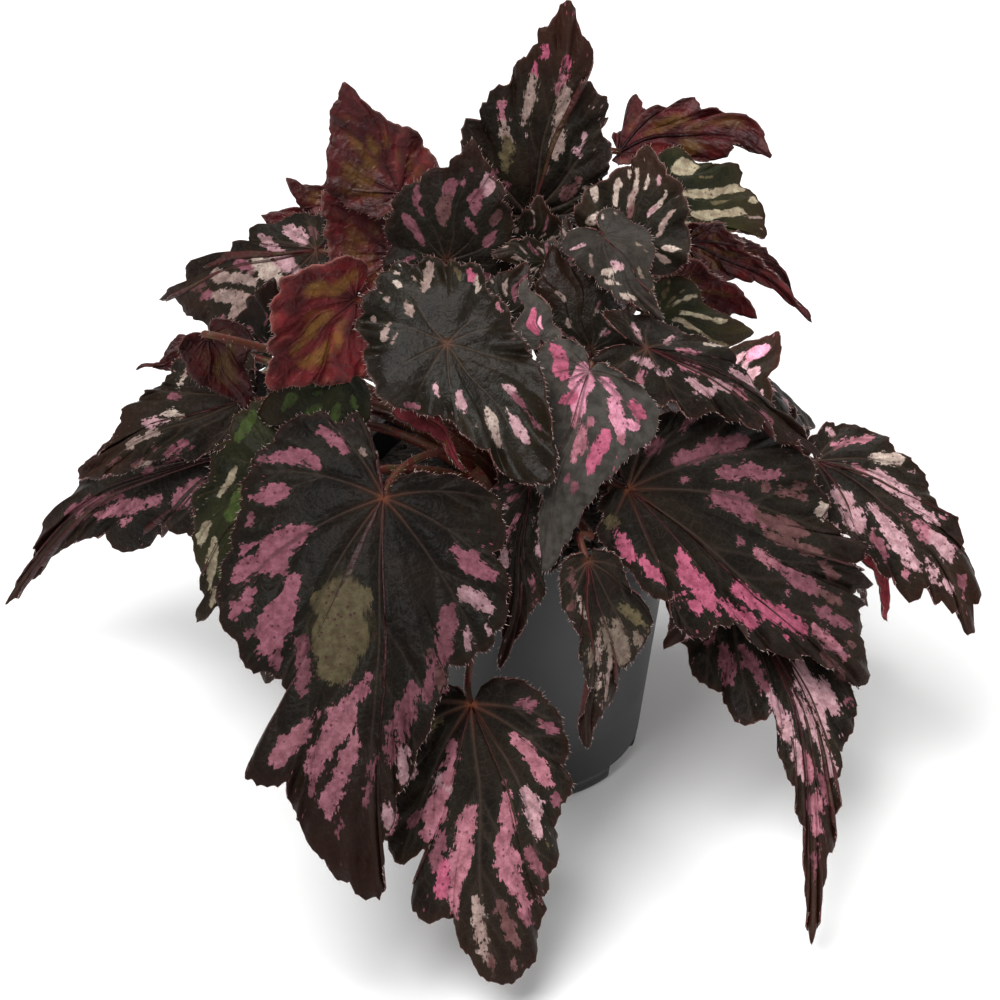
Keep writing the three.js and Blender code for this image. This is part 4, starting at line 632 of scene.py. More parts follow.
# bends that several blades share: at the back, lower down there, and the smallest ones
BACK = {"arch": 0.08, "fold": 8, "cup": 20, "wave": 3, "waves": 7}
LOW = {**BACK, "wave": 2.5, "waves": 6}
SMALL = {"wave": 1, "waves": 4}
# a habit's shade below one darkens a whole blade: partly its own colour, partly painted shade where it
# lies deep in the plant or behind others
LEAVES = (
    Leaf("leaf_front_left", Slot.PINK, FRONT_LEFT, (-57, -95, 200), (-59, -198, 70),
        (-0.05, -0.8, 0.6), arch=0.07, fold=4, cup=22, wave=3, waves=7,
        habit=Habit(warm=0.45, shade=0.65, ruddy=0.5, scallop=3.4)),
    Leaf("leaf_front_low", Slot.PINK, FRONT_LOW, (-21, -129, 118), (-13, -194, 20),
        (0.1, -0.8, 0.5), arch=0.06, cup=15, wave=3, waves=7,
        habit=Habit(warm=0.5, shade=1.15, ruddy=0.2, scallop=3.6)),
    Leaf("leaf_right_large", Slot.PINK, RIGHT_LARGE, (46, -58, 178), (149, -75, 82),
        (0.4, -0.75, 0.55), arch=0.08, fold=6, cup=15, wave=3, waves=8,
        habit=Habit(warm=0.4, ruffle=2.8, ruddy=0.2, scallop=4.4)),
    Leaf("leaf_far_right", Slot.PINK, FAR_RIGHT, (130, -5, 156), (197, -48, 96),
        (0.25, -0.65, 0.7), arch=0.1, bow=0.08, fold=8, cup=20, wave=2.5, waves=7,
        habit=Habit(warm=0.03, shade=1.25, ruffle=2.6, scallop=4.2, swell=1.04)),
    Leaf("leaf_right_hanging", Slot.PINK, RIGHT_HANGING, (94, -37, 110), (123, -161, 12),
        (0.1, -0.85, 0.5), arch=0.03, bow=0.1, fold=12, cup=20, wave=3, waves=7,
        habit=Habit(shade=1.15, ruddy=0.7, scallop=3.4)),
    Leaf("leaf_front_small", Slot.SILVER, FRONT_SMALL, (28, -92, 165), (29, -111, 80),
        (0.3, -0.9, 0.2), arch=0.04, fold=12, cup=15, over=(29, -74, 165),
        habit=Habit(warm=0.2, curl=1.5)),
    Leaf("leaf_centre_folded", Slot.PINK, CENTRE_FOLDED, (28, -54, 235), (9, -91, 165),
        (-0.1, -0.8, 0.6), arch=0.08, fold=30, cup=10, climb=0.6, hang=0.15, lean=(0.7, 0.6),
        root=(0, -11),
        habit=Habit(warm=0, shade=1.1, ruffle=2.6, curl=2, swell=1.06, ragged=0.7, ashen=0.95)),
    Leaf("leaf_centre_dark", Slot.DARK, CENTRE_DARK, (-31, -48, 245), (11, -88, 205),
        (-0.1, -0.6, 0.8), arch=0.02, fold=-4, cup=10, waves=7, closed=True,
        habit=Habit(warm=0.15, ruffle=4.2, curl=4.5, pucker=0.5, ruddy=0, scallop=3.8, swell=1.04,
                    ragged=0.7, veins=0.5)),
    Leaf("leaf_top_upright", Slot.SILVER, TOP_UPRIGHT, (4, 56, 245), (22, 86, 335), (0, -0.9, 0.4),
        arch=0.02, fold=-4, cup=0, waves=6,
        habit=Habit(shade=0.95, ruffle=2.8, ruddy=0.85, scallop=3.8)),
    Leaf("leaf_top_left_red", Slot.RED, TOP_LEFT_RED, (-53, 52, 259), (-74, 68, 304),
        (0.2, 0.9, -0.2), lean=(1, 0.2), habit=Habit(shade=0.75, ruffle=2.6, pucker=2.6, swell=1.03)),
    Leaf("leaf_left_red", Slot.RED, BROAD, (-71, -1, 238), (-106, -11, 200), (-0.4, 0.8, -0.2),
        wide=(1.2, 1.3), lean=(0.5, 0.85),
        habit=Habit(shade=1.6, ruffle=3.4, pucker=3.6, scallop=3.6, swell=1.06, ragged=0.6)),
    Leaf("leaf_left_upper", Slot.SILVER, LEFT_UPPER, (-92, 76, 215), (-166, 108, 170),
        (-0.2, -0.6, 0.75), arch=0.08, cup=15, wave=2.5, waves=6,
        habit=Habit(ruffle=2.6, scallop=3.6, swell=1.04, ragged=0.7)),
    Leaf("leaf_left_middle", Slot.SILVER, LEFT_MIDDLE, (-122, 22, 170), (-201, 27, 125),
        (-0.3, -0.6, 0.7), arch=0.08, cup=15, wave=2.5, waves=6,
        habit=Habit(ruffle=2.8, ruddy=0.6, scallop=3.6)),
    Leaf("leaf_left_long_tail", Slot.PINK, LEFT_LONG_TAIL, (-128, 22, 140), (-245, 58, 30),
        (-0.3, -0.7, 0.6), arch=0.03, bow=-0.09, cup=15, wave=3, waves=7,
        habit=Habit(ruffle=2.6, ruddy=0.6, scallop=3.4)),
    Leaf("leaf_upper_centre", Slot.PINK, BROAD, (-32, 25, 241), (-21, 44, 289), (0, -0.8, 0.6),
        wide=(1.1, 1.1), arch=0.03, fold=5, waves=6,
        habit=Habit(shade=0.85, ruffle=3.2, scallop=3.6, ragged=0.8)),
    Leaf("leaf_upper_right_red", Slot.RED, UPPER_RIGHT_RED, (46, 138, 230), (116, 140, 226),
        (0, 0.7, -0.7), arch=0.04, bow=-0.16, fold=5, waves=6, lean=(0.8, 0.6),
        habit=Habit(shade=0.75, ruffle=3, pucker=2.4, scallop=4)),
    Leaf("leaf_right_green", Slot.GREEN, RIGHT_GREEN, (59, 110, 222), (113, 113, 198),
        (0.2, -0.6, 0.7), arch=0.03, fold=5, waves=6, rise=0.6,
        habit=Habit(shade=1.1, ruffle=2.4, scallop=3.2, ragged=0.5)),
    Leaf("leaf_curly_fan", Slot.SILVER, BROAD, (48, 35, 245), (56, 52, 280), (0, -0.7, 0.7),
        wide=(1.2, 1.2), arch=0.02, fold=-5, cup=0, wave=3, waves=9,
        habit=Habit(shade=1.45, ruffle=3, curl=2.5, scallop=3.4, swell=1.05, ragged=0.7)),
    Leaf("leaf_dark_folded", Slot.SILVER, WING, (35, 10, 262), (57, -17, 238), (-0.1, -0.6, 0.8),
        wide=(1, 0.9), arch=0.1, fold=25, cup=10,
        habit=Habit(warm=0, shade=1.1, ruffle=3.6, curl=3.5, swell=1.08, ragged=0.8, veins=0.8,
                    ashen=0.45)),
    Leaf("leaf_right_red_tail", Slot.RED, TAILED, (76, 92, 210), (137, 95, 166), (0.4, 0.8, -0.2),
        wide=(0.8, 0.8), arch=0.1, wave=1.5, over=(52, 84, 182), rise=0.4, climb=0.3, lean=(0.5, 0.85),
        habit=Habit(ruffle=2.2, pucker=2)),
    Leaf("leaf_right_red_curl", Slot.RED, TAILED, (80, 131, 175), (133, 143, 142),
        (0.4, 0.8, -0.2), arch=0.1, bow=-0.2, wave=1.5, rise=0.15, climb=0.3, lean=(0.8, 0.4),
        habit=Habit(ruffle=2.2, pucker=2)),
    Leaf("leaf_right_brown", Slot.RED, YOUNG, (65, 68, 200), (103, 73, 185), (0.5, 0.8, -0.1),
        wide=(1.3, 1.3), arch=0.1, wave=1.5, over=(50, 58, 178), rise=0.3, lean=(0.5, 0.85),
        habit=Habit(shade=0.9, pucker=2, swell=1.14)),
    Leaf("leaf_right_olive", Slot.GREEN, YOUNG, (57, 44, 200), (101, 53, 185), (0.2, -0.6, 0.7),
        wide=(1.2, 1.2), fold=5, wave=1.5, habit=Habit(shade=1.1, swell=1.1, ragged=0.5)),
    Leaf("leaf_right_pale_pink", Slot.PINK, YOUNG, (89, 0, 185), (112, 12, 213), (0, -0.8, 0.6),
        wide=(1.5, 1.5), fold=5, wave=1.5, habit=Habit(shade=2.2, ragged=0.8)),
    Leaf("leaf_right_dark_long", Slot.PINK, NARROW, (53, -31, 232), (128, -21, 170),
        (0.1, -0.4, 0.9), wide=(0.75, 0.75), arch=0.1, fold=20,
        habit=Habit(ruffle=3, curl=1.5, scallop=4, swell=1.04, ragged=0.8)),
    Leaf("leaf_bud", Slot.PINK, YOUNG, (8, -27, 234), (3, -17, 250), (0, -0.8, 0.6), **SMALL,
        habit=Habit(warm=0, shade=1.5, curl=3.5, swell=1.35, ragged=0.7, ashen=0.8)),
    Leaf("leaf_young_dark_low", Slot.DARK, YOUNG, (11, 25, 240), (-13, 25, 246), (0, -0.8, 0.6),
        wide=(1.3, 1.3), **SMALL),
    Leaf("leaf_young_dark_high", Slot.DARK, YOUNG, (18, 36, 232), (22, 50, 247), (0, -0.8, 0.6),
        wide=(1.3, 1.3), **SMALL),
    Leaf("leaf_young_rolled", Slot.RED, NARROW, (-48, -47, 215), (-22, -65, 192), (0.2, -0.6, 0.7),
        wide=(0.6, 0.6), arch=0.1, fold=30, **SMALL,
        habit=Habit(shade=1.5, ruffle=3.2, ragged=0.5, veins=0.5)),
    Leaf("leaf_centre_low", Slot.PINK, WING, (4, -60, 183), (-8, -114, 125), (0, -0.8, 0.6),
        wide=(0.6, 0.45), arch=0.08),
    Leaf("leaf_right_under", Slot.RED, YOUNG, (77, -62, 130), (64, -66, 98), (0, -0.8, 0.6),
        fold=5, **SMALL),
    Leaf("leaf_far_right_sliver", Slot.RED, NARROW, (154, -19, 128), (164, -36, 90),
        (0.6, -0.6, 0.4), wide=(0.7, 0.7), **SMALL, habit=Habit(shade=2, ragged=0.5, veins=0.3)),
    Leaf("leaf_left_green", Slot.GREEN, WING, (-108, -8, 150), (-143, -22, 85), (-0.2, -0.8, 0.6),
        wide=(0.8, 0.9), arch=0.08, over=(-76, 14, 163),
        habit=Habit(warm=0, shade=0.7, swell=1.1, ragged=0.5)),
    Leaf("leaf_left_low_dark", Slot.DARK, YOUNG, (-103, -41, 112), (-115, -44, 62),
        (-0.2, -0.8, 0.6), **SMALL),
    # painted shade: this blade lies in shadow and is darkened through its habit's shade
    Leaf("leaf_shadow_green", Slot.GREEN, YOUNG, (-76, -3, 200), (-111, 8, 175), (0, -0.7, 0.7),
        wide=(1.4, 1.4), fold=5, wave=1.5, habit=Habit(warm=0, shade=0.45, swell=1.2, ragged=0.8)),
    Leaf("leaf_left_brown", Slot.RED, YOUNG, (-137, 20, 205), (-123, 19, 170), (0, 0.8, -0.6),
        wide=(1.2, 1.2), wave=1.5, waves=4, over=(-80, 28, 180), rise=0.15, climb=0.4, hang=0.4,
        habit=Habit(shade=0.55, ruffle=2.4, pucker=2.4, swell=1.1)),
    Leaf("leaf_left_behind", Slot.RED, TAILED, (-152, 81, 158), (-177, 78, 148), (0, 0.8, -0.6),
        rise=0.2, climb=0.3, **SMALL, habit=Habit(shade=0.7, pucker=2)),
    Leaf("leaf_left_small_red", Slot.RED, YOUNG, (-78, 104, 217), (-107, 109, 232), (0, 0.8, -0.6),
        **SMALL),
    Leaf("leaf_left_low_red", Slot.RED, YOUNG, (-87, 103, 207), (-118, 106, 217), (0, 0.8, -0.6),
        **SMALL),
    Leaf("leaf_left_deep_red", Slot.RED, BROAD, (-57, 56, 225), (-83, 64, 249), (0, 0.8, -0.6),
        wide=(1.2, 1.2), fold=5, wave=1.5, lean=(1, 0.2),
        habit=Habit(shade=0.85, pucker=2, swell=1.16)),
    # painted shade: most of the blades below, deep in the plant, are darkened through their habit's
    # shade
    Leaf("leaf_left_shaded", Slot.DARK, BROAD, (-112, 40, 150), (-118, 32, 176), (-0.1, -0.8, 0.5),
        arch=0.03, fold=5, wave=1, rise=0.4, habit=Habit(shade=0.7, swell=1.15)),
    Leaf("leaf_left_shaded_high", Slot.DARK, BROAD, (-112, 60, 170), (-112, 60, 196),
        (-0.1, -0.8, 0.5), arch=0.03, fold=5, wave=1, habit=Habit(shade=0.7, swell=1.5)),
    Leaf("leaf_crown_shaded", Slot.DARK, BROAD, (4, 45, 230), (10, 51, 258), (0, -0.8, 0.5),
        arch=0.03, fold=5, wave=1, rise=0.7),
    Leaf("leaf_crown_shaded_low", Slot.DARK, BROAD, (-4, 75, 212), (2, 75, 182), (0, -0.8, 0.5),
        arch=0.03, fold=5, wave=1, lean=(0.9, 0.3), habit=Habit(shade=0.7, swell=1.2)),
    Leaf("leaf_centre_shaded", Slot.DARK, BROAD, (30, -2, 212), (18, 15, 238), (0, -0.8, 0.6),
        wide=(0.9, 0.9), fold=5, wave=1.5, habit=Habit(shade=0.8, swell=1.45)),
    Leaf("leaf_centre_upright", Slot.DARK, BROAD, (-7, 7, 224), (1, 20, 244), (0, -0.8, 0.6),
        fold=5, wave=1.5),
    # painted shade: several blades at the back are darkened through their habit's shade
    Leaf("leaf_back_right", Slot.PINK, WING, (88, 100, 150), (138, 150, 60), (0.5, 0.4, 0.8),
        wide=(0.8, 0.8), **BACK, habit=Habit(shade=0.8, swell=1.15)),
    Leaf("leaf_back_middle", Slot.SILVER, BROAD, (25, 124, 180), (45, 213, 88), (0.1, 0.6, 0.7),
        wide=(0.7, 0.5), **BACK, habit=Habit(shade=0.7, swell=1.08)),
    Leaf("leaf_back_left", Slot.PINK, WING, (-48, 118, 172), (-72, 205, 72), (-0.1, 0.6, 0.7),
        wide=(0.7, 0.65), **BACK),
    Leaf("leaf_back_far_left", Slot.GREEN, WING, (-98, 98, 145), (-155, 150, 60), (-0.4, 0.5, 0.7),
        wide=(0.8, 0.75), **BACK),
    Leaf("leaf_back_low_right", Slot.SILVER, WING, (80, 95, 120), (125, 150, 30), (0.3, 0.6, 0.6),
        wide=(0.8, 0.8), **LOW),
    Leaf("leaf_back_low_left", Slot.PINK, WING, (-65, 100, 120), (-100, 150, 28), (-0.3, 0.6, 0.6),
        wide=(0.75, 0.75), **LOW, habit=Habit(shade=0.8)),
    Leaf("leaf_back_low_middle", Slot.DARK, BROAD, (5, 105, 125), (10, 150, 40), (0, 0.7, 0.6),
        wide=(0.6, 0.6), **LOW, habit=Habit(shade=0.8)),
    Leaf("leaf_right_low_back", Slot.PINK, WING, (118, 18, 122), (165, 45, 35), (0.6, 0, 0.7),
        wide=(0.6, 0.6), **LOW),
)


# ---------------- shader building
class Field:
    """A shader socket that can be added, multiplied and compared in plain expressions."""

    def __init__(self, shader: "Shader", socket: bpy.types.NodeSocket) -> None:
        """Wraps one output socket of a shader."""
        self.shader = shader
        self.socket = socket

    def __add__(self, other: "Value") -> "Field":
        """Adds a number or field."""
        return self.shader.maths("ADD", self, other)

    def __sub__(self, other: "Value") -> "Field":
        """Takes away a number or field."""
        return self.shader.maths("SUBTRACT", self, other)

    def __rsub__(self, other: "Value") -> "Field":
        """Takes this field away from a number."""
        return self.shader.maths("SUBTRACT", other, self)

    def __mul__(self, other: "Value") -> "Field":
        """Multiplies by a number or field."""
        return self.shader.maths("MULTIPLY", self, other)

    __radd__ = __add__

    def between(self, low: float, high: float) -> "Field":
        """Rises smoothly from 0 at low to 1 at high; low may be the larger number."""
        if low > high:
            return 1.0 - self.between(high, low)
        settings = {"interpolation_type": "SMOOTHSTEP"}
        node = self.shader.node("ShaderNodeMapRange", settings, {0: self, 1: low, 2: high})
        return Field(self.shader, node.outputs[0])


Value = Union[Field, float]
Paint = Union[Field, str]


class Shader:
    """Builds one procedural material, node by node."""

    def __init__(self, name: str) -> None:
        """Starts an empty material with that name."""
        self.material = bpy.data.materials.new(name)
        self.material.use_nodes = True
        self.tree = self.material.node_tree
        self.tree.nodes.clear()

    def node(self, kind: str, settings: dict, inputs: dict) -> bpy.types.ShaderNode:
        """Adds a node.

        Args:
            kind: the node's type.
            settings: its own settings, set first.
            inputs: values or links of its sockets, by name or number.

        Returns:
            The node.
        """
        node = self.tree.nodes.new(kind)
        for key, value in settings.items():
            setattr(node, key, value)
        for key, value in inputs.items():
            if isinstance(value, Field):
                self.tree.links.new(value.socket, node.inputs[key])
            else:
                node.inputs[key].default_value = value
        return node

    def maths(self, operation: str, *values: Value) -> Field:
        """Adds a Math node and returns its result."""
        node = self.node("ShaderNodeMath", {"operation": operation}, dict(enumerate(values)))
        return Field(self, node.outputs[0])

    def blend(self, share: Value, first: Paint, second: Paint, way: str = "MIX") -> Field:
        """Mixes two colours, each a field or six hex digits.

        Args:
            share: how much of the second shows.
            first: the colour at 0.
            second: the colour at 1.
            way: the blend type.

        Returns:
            The mixed colour.
        """
        settings = {"data_type": "RGBA", "blend_type": way, "clamp_factor": True}
        pair = [srgb(paint) if isinstance(paint, str) else paint for paint in (first, second)]
        node = self.node("ShaderNodeMix", settings, {0: share, 6: pair[0], 7: pair[1]})
        return Field(self, node.outputs[2])

    def coats(self, ground: Field, *coats: tuple[Value, Paint]) -> Field:
        """Lays coats of colour on a ground, each with how much of it shows."""
        for share, paint in coats:
            ground = self.blend(share, ground, paint)
        return ground

    def attribute(self, name: str, colour: bool = False) -> Field:
        """Reads a value or a colour that the mesh carries."""
        node = self.node("ShaderNodeAttribute", {"attribute_name": name}, {})
        return Field(self, node.outputs["Color" if colour else "Fac"])

    def shaded(self, colour: Field) -> Field:
        """Makes a colour as light as the mesh's own shade says, which also paints light and shade on a
        whole blade.
        """
        inputs = {"Value": self.attribute("shade"), "Color": colour}
        return Field(self, self.node("ShaderNodeHueSaturation", {}, inputs).outputs[0])

    def place(self, scale: Triple = (1, 1, 1), surface: bool = False) -> Field:
        """Gives the point on the piece, scaled on each axis.

        Args:
            scale: factors of x, y and z.
            surface: follow the piece's own UV map, in millimetres out of the joint.

        Returns:
            The scaled point.
        """
        source = self.node("ShaderNodeTexCoord", {}, {})
        point = Field(self, source.outputs["UV" if surface else "Object"])
        node = self.node("ShaderNodeMapping", {}, {"Vector": point, "Scale": scale})
        return Field(self, node.outputs[0])

    def noise(self, place: Field, scale: float, detail: float = 3.0, rough: float = 0.5) -> Field:
        """Cloudy noise about 0.5, with features of one over scale."""
        inputs = {"Vector": place, "Scale": scale, "Detail": detail, "Roughness": rough}
        return Field(self, self.node("ShaderNodeTexNoise", {}, inputs).outputs[0])

    def cells(self, place: Field, scale: float, feature: str = "F1") -> Field:
        """Distance to the nearest of many scattered points, in cells."""
        inputs = {"Vector": place, "Scale": scale}
        return Field(self, self.node("ShaderNodeTexVoronoi", {"feature": feature}, inputs).outputs[0])

    def bump(self, height: Field, distance: float, strength: float = 1.0) -> Field:
        """Turns a height into a normal; distance is the height's size in metres."""
        inputs = {"Height": height, "Distance": distance, "Strength": strength}
        return Field(self, self.node("ShaderNodeBump", {}, inputs).outputs[0])

    def finish(self, colour: Field, roughness: Value, normal: Field,
               **constants: float) -> Material:
        """Joins everything in a Principled shader.

        Args:
            colour: the base colour.
            roughness: the roughness.
            normal: the bumped normal.
            constants: other sockets, with underscores for spaces.

        Returns:
            The finished material.
        """
        inputs = {"Base Color": colour, "Roughness": roughness, "Normal": normal}
        inputs |= {key.replace("_", " "): value for key, value in constants.items()}
        body = self.node("ShaderNodeBsdfPrincipled", {}, inputs)
        out = self.node("ShaderNodeOutputMaterial", {}, {})
        self.tree.links.new(body.outputs[0], out.inputs[0])
        return self.material


@dataclass(frozen=True)
class LeafFinish:
    """The look of one kind of leaf, seen from above and from below.

    Attributes:
        slot: the record's slot.
        ground: the darkest tissue of the upper side.
        bronze: the warmer tissue that clouds it.
        edge: the margin.
        vein: the veins, away from the joint.
        back: the tissue of the underside.
        back_light: the lighter clouds of the underside.
        back_vein_and_shade: the raised veins of the underside, and the painted shade in the hollows
            beside them.
        glow: the green-gold tissue that shows through from below.
        halo: the tissue just round the splashes.
        gloss: roughness of the upper side.
        sheen: how strongly the upper side reflects.
        wrinkle: how strongly the fine net of veins shows.
        sunk: how deep the veins lie.
        puff_highlight: painted highlight, the lighter colour painted on the underside's tissue half way
            between the veins, where the puckers stand highest.
        ruddy: the red tissue towards the tip.
        ashen: darkest and lightest of the tissue that has turned grey.
        hem: the thin line round the upper margin.
        back_hem: the thin line round the lower margin.
        warm: the glowing veins near the joint, and the joint.
        worn: the thinnest tissue of the splashes.
        speck: the dark specks in the splashes.
        net: the fine net of veins in the splashes.
    """

    slot: Slot
    ground: str
    bronze: str
    edge: str
    vein: str
    back: str
    back_light: str
    back_vein_and_shade: str
    glow: str
    halo: str = "24231a"
    gloss: float = 0.42
    sheen: float = 0.08
    wrinkle: float = 0.35
    sunk: float = 0.7
    puff_highlight: str = "402320"
    ruddy: str = "331a13"
    ashen: tuple[str, str] = ("302d2a", "45413c")
    hem: str = "6a4640"
    back_hem: str = "7a4c46"
    warm: tuple[str, str] = ("5c3426", "84462c")
    worn: str = "8e7070"
    speck: str = "4a2430"
    net: str = "5a3038"

    def upper(self) -> Material:
        """Makes the upper side: dark tissue, fine veins and ragged splashes."""
        s = Shader(self.slot.value + "_upper")
        point = s.place()
        along = s.place((0.55, 0.22, 1), surface=True)
        fine = s.noise(point, 1100, 4, 0.6)
        cloud = s.noise(point, 45, 3)
        crease = s.noise(point, 210, 3, 0.55)
        net = s.cells(point, 260, "DISTANCE_TO_EDGE")
        streaks = (s.noise(along, 1.0, 4, 0.62) - 0.5) * 7.0
        crumbs = (s.noise(point, 380, 5, 0.7) - 0.5) * 7.0
        bays = (s.noise(point, 140, 2) - 0.5) * 8.0
        splash = s.attribute("splash") + (streaks + crumbs + bays) * s.attribute("ragged")
        rim = s.attribute("rim")
        vein = s.attribute("vein")
        hub = s.attribute("hub")
        warm = s.attribute("warm")
        colour = s.coats(
            s.blend(cloud.between(0.35, 0.7), self.ground, self.bronze),
            (net.between(0.05, 0.0) * self.wrinkle * 0.5, self.vein),
            (splash.between(-5.0, -0.5) * 0.35, self.halo),
            (rim.between(6.0, 0.0) * 0.4, self.edge),
            (s.attribute("ruddy"), self.ruddy),
            (s.attribute("ashen"), s.blend(crease.between(0.3, 0.7), *self.ashen)),
            (rim.between(0.7, 0.1) * 0.35, self.hem),
            (vein * 0.5, self.vein),
            (vein * hub.between(20.0, 2.0) * warm, self.warm[0]),
            (hub.between(4.0, 0.8) * warm, self.warm[1]),
        )
        dots = s.cells(along, 0.75).between(0.2, 0.08) * rim.between(16.0, 4.0)
        dots = dots * hub.between(20.0, 40.0)
        stars = dots * s.noise(point, 60, 1).between(0.5, 0.58)
        mottle = s.noise(point, 260, 3, 0.65).between(0.3, 0.72)
        worn = s.blend(mottle, self.worn, "ffffff")
        tone = s.blend(0.6, s.attribute("tone", colour=True), worn, "MULTIPLY")
        specks = s.cells(point, 360).between(0.27, 0.12) * s.noise(point, 130, 1).between(0.4, 0.52)
        tone = s.coats(tone, (specks * 0.75, self.speck), (net.between(0.06, 0.0) * 0.25, self.net))
        body = splash.between(-0.35, 0.35) * (1.0 - vein * 0.75) * rim.between(0.3, 1.6)
        mask = s.maths("MAXIMUM", body, stars * 0.8)
        colour = s.shaded(s.blend(mask, colour, tone))
        relief = net.between(0.0, 0.3) * self.wrinkle * 0.35 + crease * 1.25
        relief = relief + fine * 0.25 + mask * 0.15 - vein * self.sunk - specks * mask * 0.5
        rough = self.gloss + fine * 0.12 + mask * 0.1
        return s.finish(colour, rough, s.bump(relief, 0.0007), Specular_IOR_Level=self.sheen)

    def under(self) -> Material:
        """Makes the underside: raised veins, greener tissue behind the splashes, painted shade beside
        the veins and painted highlights half way between them.
        """
        s = Shader(self.slot.value + "_under")
        point = s.place()
        cloud = s.noise(point, 70, 4, 0.6)
        fine = s.noise(point, 1000, 4, 0.6)
        crease = s.noise(point, 180, 3, 0.55)
        vein = s.attribute("vein")
        rim = s.attribute("rim")
        splash = s.attribute("splash") + (s.noise(point, 60, 4, 0.6) - 0.5) * 16.0
        net = s.cells(point, 190, "DISTANCE_TO_EDGE")
        gap = s.attribute("gap")
        colour = s.coats(
            s.blend(cloud.between(0.3, 0.7), self.back, self.back_light),
            # painted shade: tissue within a few millimetres of each vein is darkened towards the vein
            # colour, as if in the hollows
            (gap.between(4.5, 0.5) * 0.55, self.back_vein_and_shade),
            # painted highlight: tissue half way between the veins is painted lighter, as if lit on the
            # puckers' crests
            (gap.between(2.0, 8.0) * crease.between(0.35, 0.65) * 0.55, self.puff_highlight),
            (splash.between(-3.0, 3.0) * rim.between(3.0, 14.0) * 0.7, self.glow),
            (net.between(0.07, 0.0) * 0.22, self.back_vein_and_shade),
            (vein.between(0.12, 0.6) * 0.85, self.back_vein_and_shade),
            (rim.between(6.0, 0.0) * 0.6, self.edge),
            (rim.between(0.7, 0.1) * 0.4, self.back_hem),
        )
        relief = vein * 1.5 + fine * 0.3 + crease * 1.3 + net.between(0.25, 0.0) * 0.3
        rough = 0.36 + fine * 0.15
        bump = s.bump(relief, 0.0008)
        return s.finish(s.shaded(colour), rough, bump, Specular_IOR_Level=0.22)


FINISHES = (
    LeafFinish(Slot.PINK, "100c09", "1c150e", "2b1710", "4a3c35", "240d0c", "381513", "40191a",
               "35281a"),
    LeafFinish(Slot.SILVER, "120e0a", "221811", "231a15", "4a3d35", "26100e", "3c1a16", "481f1e",
               "40341e"),
    LeafFinish(Slot.DARK, "110c07", "1e170e", "241810", "5a4d42", "220f0e", "321814", "40181a",
               "332a18", gloss=0.32, sheen=0.12, wrinkle=0.1, sunk=0.2),
    LeafFinish(Slot.GREEN, "14150a", "2a2c15", "33241a", "48422c", "341912", "42301c", "502822",
               "4c4420"),
    LeafFinish(Slot.RED, "17100d", "281913", "301410", "4a2a20", "3e0d10", "742226", "220607",
               "6a4c1e", puff_highlight="b06a5c"),
)


# ---------------- mesh helpers
def piece(name: str, mesh: bpy.types.Mesh, materials: Iterable[Material],
          stands_for: Sequence[str] = ()) -> bpy.types.Object:
    """Links a finished mesh as a piece of the plant.

    Args:
        name: the piece's name.
        mesh: its mesh, in metres.
        materials: its materials, in order.
        stands_for: the plain solids that it replaces.

    Returns:
        The new object, riding on the plant's one body.
    """
    for material in materials:
        mesh.materials.append(material)
    mesh.polygons.foreach_set("use_smooth", [True] * len(mesh.polygons))
    thing = bpy.data.objects.new(name, mesh)
    bpy.context.scene.collection.objects.link(thing)
    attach(thing, "root")
    if stands_for:
        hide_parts(*stands_for)
    log.info("%s: %d faces", name, len(mesh.polygons))
    return thing


def to_mesh(name: str, shape: BMesh) -> bpy.types.Mesh:
    """Writes a bmesh to a new mesh and frees it."""
    mesh = bpy.data.meshes.new(name)
    shape.to_mesh(mesh)
    shape.free()
    return mesh


def gather(parts: Iterable[BMesh]) -> BMesh:
    """Gathers several shapes in one, and frees them."""
    whole, spare = bmesh.new(), bpy.data.meshes.new("spare")
    for part in parts:
        part.to_mesh(spare)
        part.free()
        whole.from_mesh(spare)
    bpy.data.meshes.remove(spare)
    return whole


def extrude(shape: BMesh, edges: list[bmesh.types.BMEdge]) -> tuple[list, list]:
    """Extrudes a ring of edges once.

    Args:
        shape: the bmesh that holds the ring.
        edges: the ring's edges.

    Returns:
        The points and the edges of the new ring.
    """
    made = bmesh.ops.extrude_edge_only(shape, edges=edges)["geom"]
    ring = [item for item in made if isinstance(item, bmesh.types.BMVert)]
    new = [item for item in made if isinstance(item, bmesh.types.BMEdge)]
    return ring, [edge for edge in new if edge.verts[0] in ring and edge.verts[1] in ring]


def carry(mesh: bpy.types.Mesh, name: str, values: Union[float, Array]) -> None:
    """Lets every point of a mesh carry a number or a colour.

    Args:
        mesh: the mesh.
        name: the name that the shaders read it by.
        values: one number for all points, or a number or a colour for each.
    """
    points = np.full(len(mesh.vertices), values) if np.ndim(values) == 0 else values
    kind, key = ("FLOAT_COLOR", "color") if points.ndim == 2 else ("FLOAT", "value")
    layer = mesh.attributes.new(name, kind, "POINT")
    layer.data.foreach_set(key, points.astype(np.float32).ravel())


def carried(mesh: bpy.types.Mesh, name: str) -> Array:
    """Reads the number that every point of a mesh carries by a name."""
    values = np.zeros(len(mesh.vertices), np.float32)
    mesh.attributes[name].data.foreach_get("value", values)
    return values.astype(float)


def unroll(mesh: bpy.types.Mesh, across: Array, out: Array) -> None:
    """Lays a UV map that lets the streaks of the splashes run out from the joint.

    Args:
        mesh: the blade's mesh.
        across: each point's place along the margin, in millimetres.
        out: its distance from the joint.
    """
    corner = np.zeros(len(mesh.loops), np.int32)
    mesh.loops.foreach_get("vertex_index", corner)
    uv = np.stack([across, out], axis=1)[corner]
    mesh.uv_layers.new(name="rays").data.foreach_set("uv", uv.astype(np.float32).ravel())
    mesh.update()


